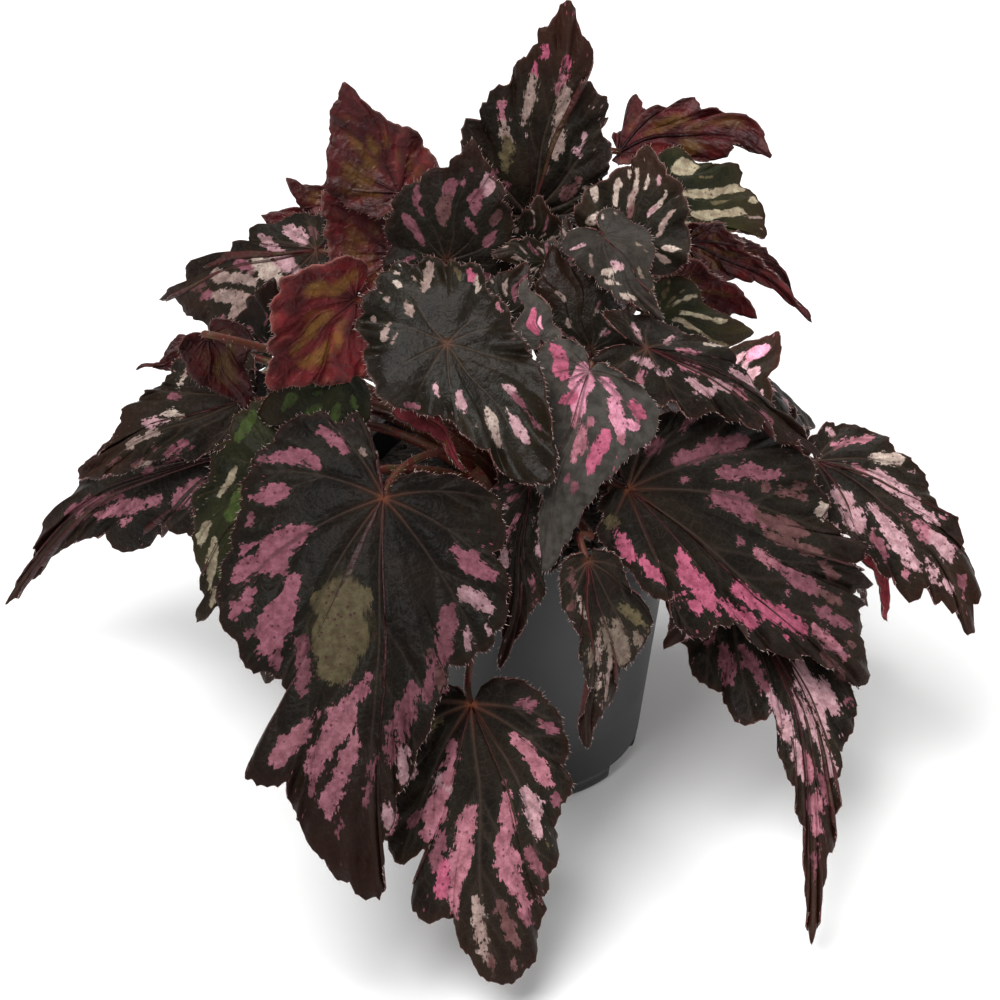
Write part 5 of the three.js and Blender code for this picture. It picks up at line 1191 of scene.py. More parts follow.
# ---------------- blades
@dataclass
class Half:
    """One half of a blade's margin.

    Attributes:
        points: its corners from the tip to the joint, in blade lengths.
        reach: the share of its length that each corner has reached.
        side: 1 for the left half, -1 for the right.
        bulge: how far each side between two corners stands out.
        shortest: the nearest to the joint that a lobe's corner may lie.
        sharpest: how much a corner has to stand out to be a lobe.
    """

    points: Array
    reach: Array
    side: int
    bulge: float = 0.1
    shortest: float = 0.12
    sharpest: float = 0.05

    @classmethod
    def of(cls, shape: Leaf, side: int) -> "Half":
        """Takes the half of a leaf on one side: 1 for left, -1 for right."""
        listed = shape.outline.left if side > 0 else shape.outline.right
        wide = shape.wide[0] if side > 0 else shape.wide[1]
        corners = [(along / 100, across / 100 * wide) for along, across in listed]
        points = np.array([(1.0, 0.0)] + corners)
        steps = np.hypot(*np.diff(points, axis=0).T)
        reach = np.concatenate([[0.0], np.cumsum(steps)])
        return cls(points, reach / reach[-1], side)

    def size(self) -> float:
        """Length of this half of the margin, in blade lengths."""
        return float(np.hypot(*np.diff(self.points, axis=0).T).sum())

    def at(self, share: Array) -> Array:
        """Gives margin points; each side between two corners bulges outwards.

        Args:
            share: how far round the half the points lie, 0 at the tip and 1 at the joint.

        Returns:
            One (along, across) row for each share.
        """
        last = len(self.reach) - 1
        index = np.clip(np.searchsorted(self.reach, share, side="left"), 1, last)
        start, end = self.points[index - 1], self.points[index]
        k = (share - self.reach[index - 1]) / (self.reach[index] - self.reach[index - 1])
        bulge = 4 * self.bulge * k * (1 - k) * self.side
        step = end - start
        mid = start + step * k[:, None]
        return mid + np.stack([step[:, 1] * bulge, -step[:, 0] * bulge], axis=1)

    def lobes(self, apart: float) -> list[float]:
        """Finds the corners that stand out most, which the main veins run to.

        Args:
            apart: the smallest angle between two of them at the joint, in degrees.

        Returns:
            Their shares of the way round the half.
        """
        found = []
        for i in range(1, len(self.points) - 2):
            before = self.points[i] - self.points[i - 1]
            after = self.points[i + 1] - self.points[i]
            cross = float(before[0] * after[1] - before[1] * after[0])
            out = cross * self.side / (np.hypot(*before) * np.hypot(*after) + 1e-9)
            angle = abs(math.degrees(math.atan2(self.points[i][1], self.points[i][0])))
            if np.hypot(*self.points[i]) > self.shortest:
                found.append((out, angle, float(self.reach[i])))
        kept: list[tuple[float, float]] = [(0.0, 0.0)]
        for out, angle, share in sorted(found, reverse=True):
            if out > self.sharpest and all(abs(angle - other) > apart for other, _ in kept):
                kept.append((angle, share))
        return sorted(share for _, share in kept[1:])


@dataclass
class Vein:
    """A slightly bowed vein in the flat blade, in blade lengths.

    Attributes:
        start: where it starts.
        end: where it ends.
        thick: its thickness at the start and at the end, in millimetres.
        strength: how strongly it shows at the start and at the end.
        bow: how far its middle stands aside.
    """

    start: Array
    end: Array
    thick: Pair
    strength: Pair
    bow: float = 0.0

    def line(self, share: Array) -> Array:
        """Points of the bowed line, one row for each share of its length."""
        way = self.end - self.start
        aside = np.array([-way[1], way[0]])
        bulge = self.bow * 4 * share * (1 - share)
        return self.start + np.outer(share, way) + np.outer(bulge, aside)

    def near(self, points: Array, length: float) -> tuple[Array, Array]:
        """Finds how far each point lies from the vein and how strongly the vein shows there.

        Args:
            points: places in the flat blade, in blade lengths.
            length: the blade's length.

        Returns:
            Distances in millimetres, and strengths from 0, clear of the vein, to 1.
        """
        way = self.end - self.start
        share = np.clip(((points - self.start) @ way) / (way @ way), 0, 1)
        gap = np.hypot(*(points - self.line(share)).T) * length
        thick = self.thick[0] + (self.thick[1] - self.thick[0]) * share
        strength = self.strength[0] + (self.strength[1] - self.strength[0]) * share
        return gap, np.exp(-((gap / thick) ** 2)) * strength


@dataclass
class Blade:
    """One leaf blade, grown from its joint to its margin in rays and rings.

    Attributes:
        shape: where it sits and how it bends.
        seed: seed of everything that is drawn at random on it.
        step: spacing of the rays at the margin, in millimetres.
        ring: spacing of the rings.
        thick: thickness of the blade.
        tooth: height of the margin's small teeth.
        tooth_pitch: their spacing.
        scallop_pitch: spacing of the rounder, larger scallops.
        ruffle_pitch: spacing of the small ruffles along the margin.
        groove: how deep the main veins lie.
        sway: how far the veins wander sideways.
        ray_counts: the fewest and the most rays of one half.
        ring_counts: the fewest and the most rings.
        midrib_forks: where the midrib sends out branches, as shares of its length.
        vein_forks: the same for the other main veins.
        clear: depth given to tissue far from every splash.
        overlap: how far a splash's colour reaches past its edge, over an earlier one's.
        lobes_apart: the smallest angle between two main veins at the joint, in degrees.
        full: the length from which a blade has its full ruffles and puckers.
        full_teeth: the same for its teeth and scallops.
        full_veins: the same for its veins.
        young: the length below which a blade has a young leaf's habit.
        faint: the length below which the veins show less.
        halves: the left and the right half of its margin.
        rng: its own random numbers.
    """

    shape: Leaf
    seed: int
    step: float = 1.2
    ring: float = 2.8
    thick: float = 0.6
    tooth: float = 1.5
    tooth_pitch: float = 4.6
    scallop_pitch: float = 14.0
    ruffle_pitch: float = 16.0
    groove: float = 0.5
    sway: float = 1.6
    ray_counts: tuple[int, int] = (48, 215)
    ring_counts: tuple[int, int] = (14, 52)
    midrib_forks: tuple[float, ...] = (0.3, 0.46, 0.62, 0.77, 0.88)
    vein_forks: tuple[float, ...] = (0.48, 0.72)
    clear: float = -12.0
    overlap: float = 0.6
    lobes_apart: float = 17.0
    full: float = 90.0
    full_teeth: float = 80.0
    full_veins: float = 120.0
    young: float = 75.0
    faint: float = 60.0
    halves: tuple[Half, Half] = field(init=False)
    rng: np.random.Generator = field(init=False)

    def __post_init__(self) -> None:
        """Works out the blade's own axes and the two halves of its margin."""
        self.halves = (Half.of(self.shape, 1), Half.of(self.shape, -1))
        self.rng = np.random.default_rng(self.seed)
        self.joint = np.array(self.shape.joint, float)
        way = np.array(self.shape.tip, float) - self.joint
        self.length = float(np.linalg.norm(way))
        self.along = way / self.length
        up = np.array(self.shape.face, float)
        up = up - (up @ self.along) * self.along
        self.up = up / np.linalg.norm(up)
        self.across = np.cross(self.up, self.along)
        self.phase = self.rng.uniform(0, 6.28, 4)
        usual = Habit(warm=0.05, ruffle=3.2, curl=2.5) if self.length < self.young else Habit()
        self.habit = self.shape.habit or usual

    def part(self, full: float) -> float:
        """Share of its full size that a detail keeps on a blade shorter than full."""
        return min(1.0, self.length / full)

    def edge_mm(self, turn: Array) -> Array:
        """Length of the half of the margin that each ray ends on, in millimetres."""
        return np.where(turn >= 0, self.halves[0].size(), self.halves[1].size()) * self.length

    def margin(self, turn: Array) -> Array:
        """Margin points in blade lengths; turn runs from -1, right, by 0, the tip, to 1, left."""
        left = self.halves[0].at(np.abs(turn))
        right = self.halves[1].at(np.abs(turn))
        return np.where(turn[:, None] >= 0, left, right) * self.habit.swell

    def rays(self) -> Array:
        """Places of the rays round the margin, with one ray exactly on each main vein."""
        listed = []
        for half in (self.halves[1], self.halves[0]):
            count = int(np.clip(half.size() * self.length / self.step, *self.ray_counts))
            shares = np.linspace(0, 1, count + 1)
            for lobe in half.lobes(self.lobes_apart):
                shares[1 + int(np.argmin(np.abs(shares[1:-1] - lobe)))] = lobe
            listed.append(shares * half.side)
        return np.concatenate([listed[0][::-1], listed[1][1:]])

    def veins(self) -> list[Vein]:
        """Makes the main veins from the joint to the lobes, and the branches between them."""
        scale = self.part(self.full_veins)
        tips = [np.array([1.0, 0.0])]
        for half in self.halves:
            tips.extend(half.at(np.array(half.lobes(self.lobes_apart))))
        made = []
        for number, tip in enumerate(tips):
            end = tip * 0.97
            bow = 0.055 * float(np.sign(tip[1])) + 0.012 * math.sin(self.phase[0] + number)
            main = Vein(np.zeros(2), end, (1.0 * scale, 0.5 * scale), (1.0, 0.5), bow)
            made.append(main)
            for share in self.midrib_forks if number == 0 else self.vein_forks:
                for side in (1, -1):
                    turn = math.radians(side * self.rng.uniform(24, 34))
                    turned = np.array([
                        [math.cos(turn), -math.sin(turn)],
                        [math.sin(turn), math.cos(turn)],
                    ])
                    place = min(0.95, share + self.rng.uniform(-0.04, 0.04))
                    start = main.line(np.array([place]))[0]
                    reach = (1 - share) * (0.75 if number == 0 else 0.6)
                    branch = start + turned @ end * reach
                    made.append(Vein(start, branch, (0.75 * scale, 0.45 * scale), (0.5, 0.2)))
        return made

    def spread(self) -> list[Splash]:
        """Grows splashes on both sides of each main vein, broken here and there."""
        tones = GROWN_TONES[self.shape.slot]
        grown = []
        for vein in self.veins():
            if vein.strength[0] < 1:
                continue
            way = vein.end
            reach = float(np.hypot(*way))
            aside = np.array([-way[1], way[0]]) / reach
            for side in (1, -1):
                start = self.rng.uniform(0.34, 0.5)
                tone = tones[int(self.rng.integers(len(tones)))]
                while start < 0.84:
                    end = min(0.9, start + self.rng.uniform(0.07, 0.2))
                    width = self.rng.uniform(0.03, 0.055) * min(1.0, reach * 1.6)
                    off = side * (0.024 + 0.12 * start * reach + self.rng.uniform(-0.01, 0.01))
                    fan = off * self.rng.uniform(1.1, 1.5)
                    first, last = way * start + aside * off, way * end + aside * fan
                    if self.rng.random() > (0.45 if self.shape.slot is Slot.DARK else 0.1):
                        grown.append(Splash(*map(float, (*first, *last)), width, tone))
                    start = end + self.rng.uniform(0.03, 0.07)
        return grown

    def splashes(self, flat: Array) -> tuple[Array, Array]:
        """Finds how deep each point lies in a splash, and the colour it would take.

        Args:
            flat: places in the flat blade, in blade lengths.

        Returns:
            Depth in millimetres, negative outside, and a colour for each point.
        """
        depth = np.full(len(flat), self.clear)
        nearest = np.full(len(flat), -np.inf)
        tone = np.tile(np.array(srgb(DUSTY.value)), (len(flat), 1))
        for splash in SPLASHES.get(self.shape.name) or self.spread():
            inside = splash.depth(flat) * self.length
            taken = (inside > nearest) | (inside > -self.overlap)
            nearest = np.maximum(nearest, inside)
            depth = np.maximum(depth, inside)
            tone[taken] = srgb(splash.tone.value)
        return depth, tone

    def nerves(self, flat: Array) -> tuple[Array, Array]:
        """Finds how strongly the veins show at each point, and how far off the nearest one is.

        Args:
            flat: places in the flat blade, in blade lengths.

        Returns:
            Strengths from 0 to 1, and distances in millimetres.
        """
        strength, gap = np.zeros(len(flat)), np.full(len(flat), np.inf)
        shown = self.habit.veins * (0.45 if self.length < self.faint else 1.0)
        for vein in self.veins():
            away, strong = vein.near(flat, self.length)
            strength = np.maximum(strength, strong * shown)
            gap = np.minimum(gap, away)
        return strength, gap

    def teeth(self, turn: Array) -> Array:
        """Height of the small teeth and the scallops round the margin, in millimetres."""
        reach = np.abs(turn) * self.edge_mm(turn)
        place = reach / self.tooth_pitch + self.phase[0]
        sizes = np.random.default_rng(self.seed + 7).uniform(0.25, 1.0, 97)
        own = sizes[np.floor(place).astype(int) % len(sizes)]
        saw = np.clip(1 - 2.4 * np.abs(place % 1 - 0.62), 0, 1) ** 1.3
        beat = reach / self.scallop_pitch + 0.35 * np.sin(reach / 17 + self.phase[3]) + self.phase[1]
        lobe = np.abs(np.sin(math.pi * beat)) ** 0.8 - 0.7
        lobe *= 0.75 + 0.35 * np.sin(reach / 23 + self.phase[2])
        return (self.tooth * (saw * own - 0.3) + self.habit.scallop * lobe) * self.part(self.full_teeth)

    def lift(self, turn: Array, out: Array) -> Array:
        """Height of the ruffles and of the curled margin, in millimetres.

        Args:
            turn: each point's ray.
            out: each point's share of the way out to the margin.

        Returns:
            Heights above the smooth blade.
        """
        beat = np.abs(turn) * self.edge_mm(turn) / self.ruffle_pitch * 2 * math.pi
        ruffle = ease(out, 0.55, 1.0) * np.sin(beat + self.phase[2] + np.sin(beat * 0.31))
        ruffle *= self.habit.ruffle * (0.6 + 0.4 * np.sin(beat * 0.37 + self.phase[3]))
        curl = self.habit.curl * ease(out, 0.8, 1.05) * (0.65 + 0.35 * np.sin(beat * 0.21))
        return (ruffle + curl) * self.part(self.full)

    def bend(self, flat: Array, turn: Array, out: Array, lift: Array) -> Array:
        """Bends the flat blade into its place.

        Args:
            flat: places in the flat blade, in blade lengths.
            turn: each point's ray.
            out: each point's share of the way out to the margin.
            lift: extra height above the blade, in millimetres.

        Returns:
            Points in millimetres.
        """
        shape = self.shape
        wide = flat[:, 1] * self.length
        angle = np.radians(shape.fold + shape.cup * np.abs(wide) / self.length)
        rise = 4 * flat[:, 0] * (1 - flat[:, 0])
        wave = shape.wave * out ** 2 * np.sin(math.pi * shape.waves * turn)
        sway = self.sway * np.sin(flat[:, 0] * 8 + self.phase[0])
        x = flat[:, 0] * self.length
        y = wide * np.cos(angle) + shape.bow * self.length * np.maximum(0, rise)
        z = shape.arch * self.length * rise - np.abs(wide) * np.sin(angle)
        z = z + wave * np.minimum(1, np.abs(turn) * 4) + lift
        y = y + sway * ease(np.hypot(*flat.T), 0.03, 0.4)
        return self.joint + np.outer(x, self.along) + np.outer(y, self.across) + np.outer(z, self.up)

    def sheet(self) -> bpy.types.Mesh:
        """Makes the blade's upper sheet as a grid of rays and rings, merged at the joint."""
        rays = self.rays()
        rings = int(np.clip(self.length / self.ring, *self.ring_counts))
        shape = bmesh.new()
        bmesh.ops.create_grid(shape, x_segments=len(rays) - 1, y_segments=rings, size=1)
        turn_layer = shape.verts.layers.float.new("turn")
        out_layer = shape.verts.layers.float.new("out")
        hub, first, last = [], {}, {}
        for vert in shape.verts:
            ray = round((vert.co.x + 1) / 2 * (len(rays) - 1))
            row = round((vert.co.y + 1) / 2 * rings)
            vert[turn_layer] = rays[ray]
            vert[out_layer] = row / rings
            if row == 0:
                hub.append(vert)
            elif ray == 0:
                first[row] = vert
            elif ray == len(rays) - 1:
                last[row] = vert
        if self.shape.closed:
            bmesh.ops.weld_verts(shape, targetmap={last[row]: first[row] for row in last})
            hub = [vert for vert in shape.verts if vert[out_layer] == 0]
        bmesh.ops.pointmerge(shape, verts=hub, merge_co=(0, 0, 0))
        bmesh.ops.reverse_faces(shape, faces=shape.faces)
        return to_mesh(self.shape.name.replace("leaf_", "blade_"), shape)

    def grow(self, finish: tuple[Material, Material]) -> bpy.types.Object:
        """Builds the finished blade.

        Args:
            finish: the materials of the upper side and the underside.

        Returns:
            The blade as a piece that replaces its plain solid.
        """
        mesh = self.sheet()
        turn, out = carried(mesh, "turn"), carried(mesh, "out")
        margin = self.margin(turn)
        radius = np.maximum(1e-4, np.hypot(*margin.T))
        grow = 1 + self.teeth(turn) / self.length / radius * ease(out, 0.72, 1.0)
        flat = margin * (out * grow)[:, None]
        strength, gap = self.nerves(flat)
        rim = (1 - out) * radius * self.length
        hub = out * radius * self.length
        tissue = self.habit.pucker * ease(gap, 0.3, 5.0) * ease(hub, 4, 18) * ease(rim, 0.5, 8)
        lift = self.lift(turn, out) + tissue * self.part(self.full) - self.groove * strength
        mesh.vertices.foreach_set("co", (self.bend(flat, turn, out, lift) * MM).ravel())
        depth, tone = self.splashes(flat)
        values = {
            "splash": depth,
            "vein": strength,
            "rim": rim,
            "hub": hub,
            # shade: the blade's own lightness together with its painted light and shade
            "shade": self.habit.shade,
            "warm": self.habit.warm,
            "ragged": self.habit.ragged * self.part(self.full),
            "ashen": self.habit.ashen,
            # gap: distance to the nearest vein, which the underside's painted shade and painted
            # highlights follow
            "gap": np.minimum(gap, 20.0),
            "ruddy": self.habit.ruddy * ease(flat[:, 0], 0.45, 0.95),
            "tone": tone,
        }
        for name, value in values.items():
            carry(mesh, name, value)
        unroll(mesh, turn * self.edge_mm(turn), hub)
        leaf = piece(mesh.name, mesh, finish, [self.shape.name])
        skin = leaf.modifiers.new("thickness", "SOLIDIFY")
        skin.thickness = self.thick * MM
        skin.offset = -1
        skin.material_offset = 1
        skin.material_offset_rim = 1
        return leaf

    def hairs(self, spacing: float = 1.7) -> BMesh:
        """Grows the fine hairs along the margin, that many millimetres apart."""
        shape = bmesh.new()
        for half in self.halves:
            count = int(half.size() * self.length / spacing)
            turn = (np.arange(count) + self.rng.uniform(0.1, 0.9, count)) / count * half.side
            turn = np.clip(turn, -0.97, 0.97)
            margin = self.margin(turn)
            radius = np.maximum(1e-4, np.hypot(*margin.T))
            out = np.ones(count)
            grow = 1 + self.teeth(turn) / self.length / radius
            lift = self.lift(turn, out)
            edge = self.bend(margin * grow[:, None], turn, out, lift)
            inner = self.bend(margin * (grow * 0.97)[:, None], turn, out, lift)
            way = edge - inner
            way /= np.linalg.norm(way, axis=1)[:, None] + 1e-9
            way += self.rng.normal(0, 0.45, (count, 3))
            for foot, lean in zip(edge, way):
                Hair(foot, lean, float(self.rng.uniform(0.9, 2.2))).grow(shape)
        return shape


@dataclass
class Hair:
    """One fine hair: its foot, the way it leans, its length and its radii, in millimetres."""

    foot: Array
    lean: Array
    length: float
    radius: float = 0.09
    tip: float = 0.015

    def grow(self, shape: BMesh) -> None:
        """Adds the hair to a bmesh as a three-sided cone."""
        way = Vector(self.lean).normalized()
        turn = way.to_track_quat("Z", "Y").to_matrix().to_4x4()
        middle = Vector(self.foot) + way * (self.length * 0.45)
        bmesh.ops.create_cone(
            shape, cap_ends=True, segments=3, radius1=self.radius * MM, radius2=self.tip * MM,
            depth=self.length * MM, matrix=Matrix.Translation(middle * MM) @ turn,
        )


# ---------------- stalks and rhizome
def bezier(corners: Sequence[Vector], share: float) -> Vector:
    """A point on the cubic curve of four corners."""
    rest = 1 - share
    weights = (rest ** 3, 3 * rest * rest * share, 3 * rest * share * share, share ** 3)
    return sum((corner * weight for corner, weight in zip(corners, weights)), Vector())


def spline(points: Sequence[Vector], share: float) -> Vector:
    """A point on the smooth centripetal curve through all the points."""
    last = len(points) - 1
    place = last * share
    index = min(int(place), last - 1)
    weight = place - index
    second, third = points[index], points[index + 1]
    first = points[index - 1] if index > 0 else points[0] * 2 - points[1]
    fourth = points[index + 2] if index + 2 <= last else points[last] * 2 - points[last - 1]
    gaps = [math.sqrt(max(1e-4, (b - a).length)) for a, b in
            ((first, second), (second, third), (third, fourth))]
    leave = (second - first) / gaps[0] - (third - first) / (gaps[0] + gaps[1])
    leave = (leave + (third - second) / gaps[1]) * gaps[1]
    arrive = (third - second) / gaps[1] - (fourth - second) / (gaps[1] + gaps[2])
    arrive = (arrive + (fourth - third) / gaps[2]) * gaps[1]
    square = 3 * (third - second) - 2 * leave - arrive
    cube = 2 * (second - third) + leave + arrive
    return second + leave * weight + square * weight ** 2 + cube * weight ** 3


@dataclass
class Stalk:
    """The hairy stalk of one leaf, from the rhizome to just below its blade.

    Attributes:
        blade: the blade that it carries.
        root_height: height at which it leaves the rhizome.
        radii: its radius at the root and at the blade.
        rest: the clearance under the blade.
        hook: how far before the blade it turns into it.
        over_rim: height at which a low stalk passes over the pot's rim.
        pot_radius: radius of the rim.
        clearance: how far outside the rim it passes.
        steps: steps along it.
        sides: sides round it.
    """

    blade: Blade
    root_height: float = 142.0
    radii: Pair = (2.4, 1.5)
    rest: float = 0.45
    hook: float = 12.0
    over_rim: float = 163.0
    pot_radius: float = 71.5
    clearance: float = 6.0
    steps: int = 18
    sides: int = 8

    def line(self) -> list[Vector]:
        """Works out the points of the stalk's middle line, the same way as the plain solid's."""
        shape, blade = self.blade.shape, self.blade
        root = shape.root or (shape.joint[0] * 0.16, shape.joint[1] * 0.11)
        start = Vector((
            max(-20.0, min(20.0, root[0])),
            max(-12.0, min(12.0, root[1])),
            self.root_height,
        ))
        droop = abs(math.sin(math.radians(shape.fold))) + 4 * abs(shape.arch)
        below = 0.8 + self.rest + self.radii[1] * droop
        up, along = Vector(blade.up), Vector(blade.along)
        end = Vector(shape.joint) - up * below
        arrive = (along * shape.lean[0] + up * shape.lean[1]).normalized()
        away = math.hypot(end.x, end.y)
        shares = [i / self.steps for i in range(self.steps + 1)]
        if shape.over or (end.z < self.over_rim and away > self.pot_radius):
            share = (self.pot_radius + self.clearance) / away
            over = Vector(shape.over or (end.x * share, end.y * share, self.over_rim))
            risen = start.lerp(over, 0.4) + Vector((0, 0, self.clearance))
            points = [start, risen, over, end - arrive * self.hook, end]
            return [spline(points, share) for share in shares]
        out = Vector((end.x - start.x, end.y - start.y, 0)).normalized()
        leave = (out * (1 - shape.rise) + Vector((0, 0, shape.rise))).normalized()
        reach = (end - start).length
        corners = [
            start,
            start + leave * reach * shape.climb,
            end - arrive * reach * shape.hang,
            end,
        ]
        return [bezier(corners, share) for share in shares]

    def grow(self) -> BMesh:
        """Extrudes the stalk along its line, step by step."""
        shape = bmesh.new()
        line = self.line()
        last = len(line) - 1
        for i, middle in enumerate(line):
            ahead = line[min(i + 1, last)] - line[max(i - 1, 0)]
            share = i / last
            radius = self.radii[0] + (self.radii[1] - self.radii[0]) * share
            radius *= 1 + 0.06 * math.sin(9 * share + self.blade.phase[0])
            if i == 0:
                turn = ahead.to_track_quat("Z", "Y")
            else:
                turn = (turn @ Vector((0, 0, 1))).rotation_difference(ahead.normalized()) @ turn
            place = Matrix.Translation(middle * MM) @ turn.to_matrix().to_4x4()
            if i == 0:
                bmesh.ops.create_circle(shape, cap_ends=True, segments=self.sides,
                                        radius=radius * MM, matrix=place)
                edges = list(shape.edges)
            else:
                ring, edges = extrude(shape, edges)
                step = place @ Matrix.Scale(radius / size, 4) @ old.inverted()
                bmesh.ops.transform(shape, matrix=step, verts=ring)
            old, size = place, radius
        bmesh.ops.holes_fill(shape, edges=edges, sides=self.sides)
        return shape

    def hairs(self, spacing: float = 1.3) -> BMesh:
        """Grows the stalk's standing hairs, one for that many millimetres."""
        shape = bmesh.new()
        rng = self.blade.rng
        line = self.line()
        for first, second in zip(line[2:-1], line[3:]):
            way = second - first
            for _ in range(max(1, int(way.length / spacing))):
                middle = first + way * float(rng.random())
                lean = Vector(rng.normal(0, 1, 3))
                lean = (lean - lean.project(way)).normalized()
                foot = middle + lean * self.radii[1]
                Hair(np.array(foot), np.array(lean), float(rng.uniform(1.0, 2.4))).grow(shape)
        return shape


@dataclass(frozen=True)
class StalkFinish:
    """Red-brown skin with greener streaks and pale flecks, and its hairs."""

    skin: str = "521c19"
    green: str = "46351d"
    fleck: str = "a8665a"
    hair: str = "b98a86"
    pale_hair: str = "d6c6bd"

    def body(self) -> Material:
        """Makes the skin of stalks and rhizome."""
        s = Shader(Slot.STALK.value)
        point = s.place()
        streak = s.noise(s.place((1, 1, 0.25)), 300, 4, 0.6)
        colour = s.blend(streak.between(0.35, 0.7), self.skin, self.green)
        flecks = s.cells(point, 420).between(0.22, 0.1)
        colour = s.blend(flecks * 0.6, colour, self.fleck)
        bump = s.bump(streak + flecks * 0.6, 0.0005)
        return s.finish(colour, 0.42 + streak * 0.15, bump, Specular_IOR_Level=0.25)

    def hairs(self) -> Material:
        """Makes the pale hairs."""
        s = Shader("plant_hair")
        point = s.place()
        tint = s.noise(point, 90, 2)
        colour = s.blend(tint.between(0.35, 0.65), self.hair, self.pale_hair)
        return s.finish(colour, 0.5, s.bump(tint, 0.0002), Sheen_Weight=0.3)


@dataclass
class Crown:
    """The rhizome with every stalk, and the hairs on stalks and margins.

    Attributes:
        blades: all the blades.
        radii: half sizes of the rhizome.
        height: height of its middle.
        lump: how uneven it is.
        knobs: how high its small knobs stand.
    """

    blades: list[Blade]
    radii: Triple = (30.0, 20.0, 13.0)
    height: float = 139.0
    lump: float = 0.05
    knobs: float = 0.012

    def build(self, finish: StalkFinish) -> None:
        """Builds the rhizome, the stalks and all the hairs."""
        skin, pale = finish.body(), finish.hairs()
        rhizome = bmesh.new()
        bmesh.ops.create_icosphere(rhizome, subdivisions=5, radius=1)
        for vert in rhizome.verts:
            unit = vert.co.copy()
            size = 1 + self.lump * math.sin(5 * unit.x + 2) * math.cos(4 * unit.y)
            size += self.knobs * math.sin(23 * unit.x + 3 * unit.z) * math.sin(19 * unit.y)
            vert.co = Vector((
                unit.x * self.radii[0] * size,
                unit.y * self.radii[1] * size,
                unit.z * self.radii[2] * size + self.height,
            )) * MM
        piece("rhizome", to_mesh("rhizome", rhizome), [skin], ["rhizome_with_stalks"])
        stalks = gather(Stalk(blade).grow() for blade in self.blades)
        bmesh.ops.recalc_face_normals(stalks, faces=stalks.faces)
        piece("stalks", to_mesh("stalks", stalks), [skin], ["rhizome_with_stalks"])
        hairs = gather(Stalk(blade).hairs() for blade in self.blades)
        piece("stalk_hairs", to_mesh("stalk_hairs", hairs), [pale])
        hairs = gather(blade.hairs() for blade in self.blades)
        piece("margin_hairs", to_mesh("margin_hairs", hairs), [pale])


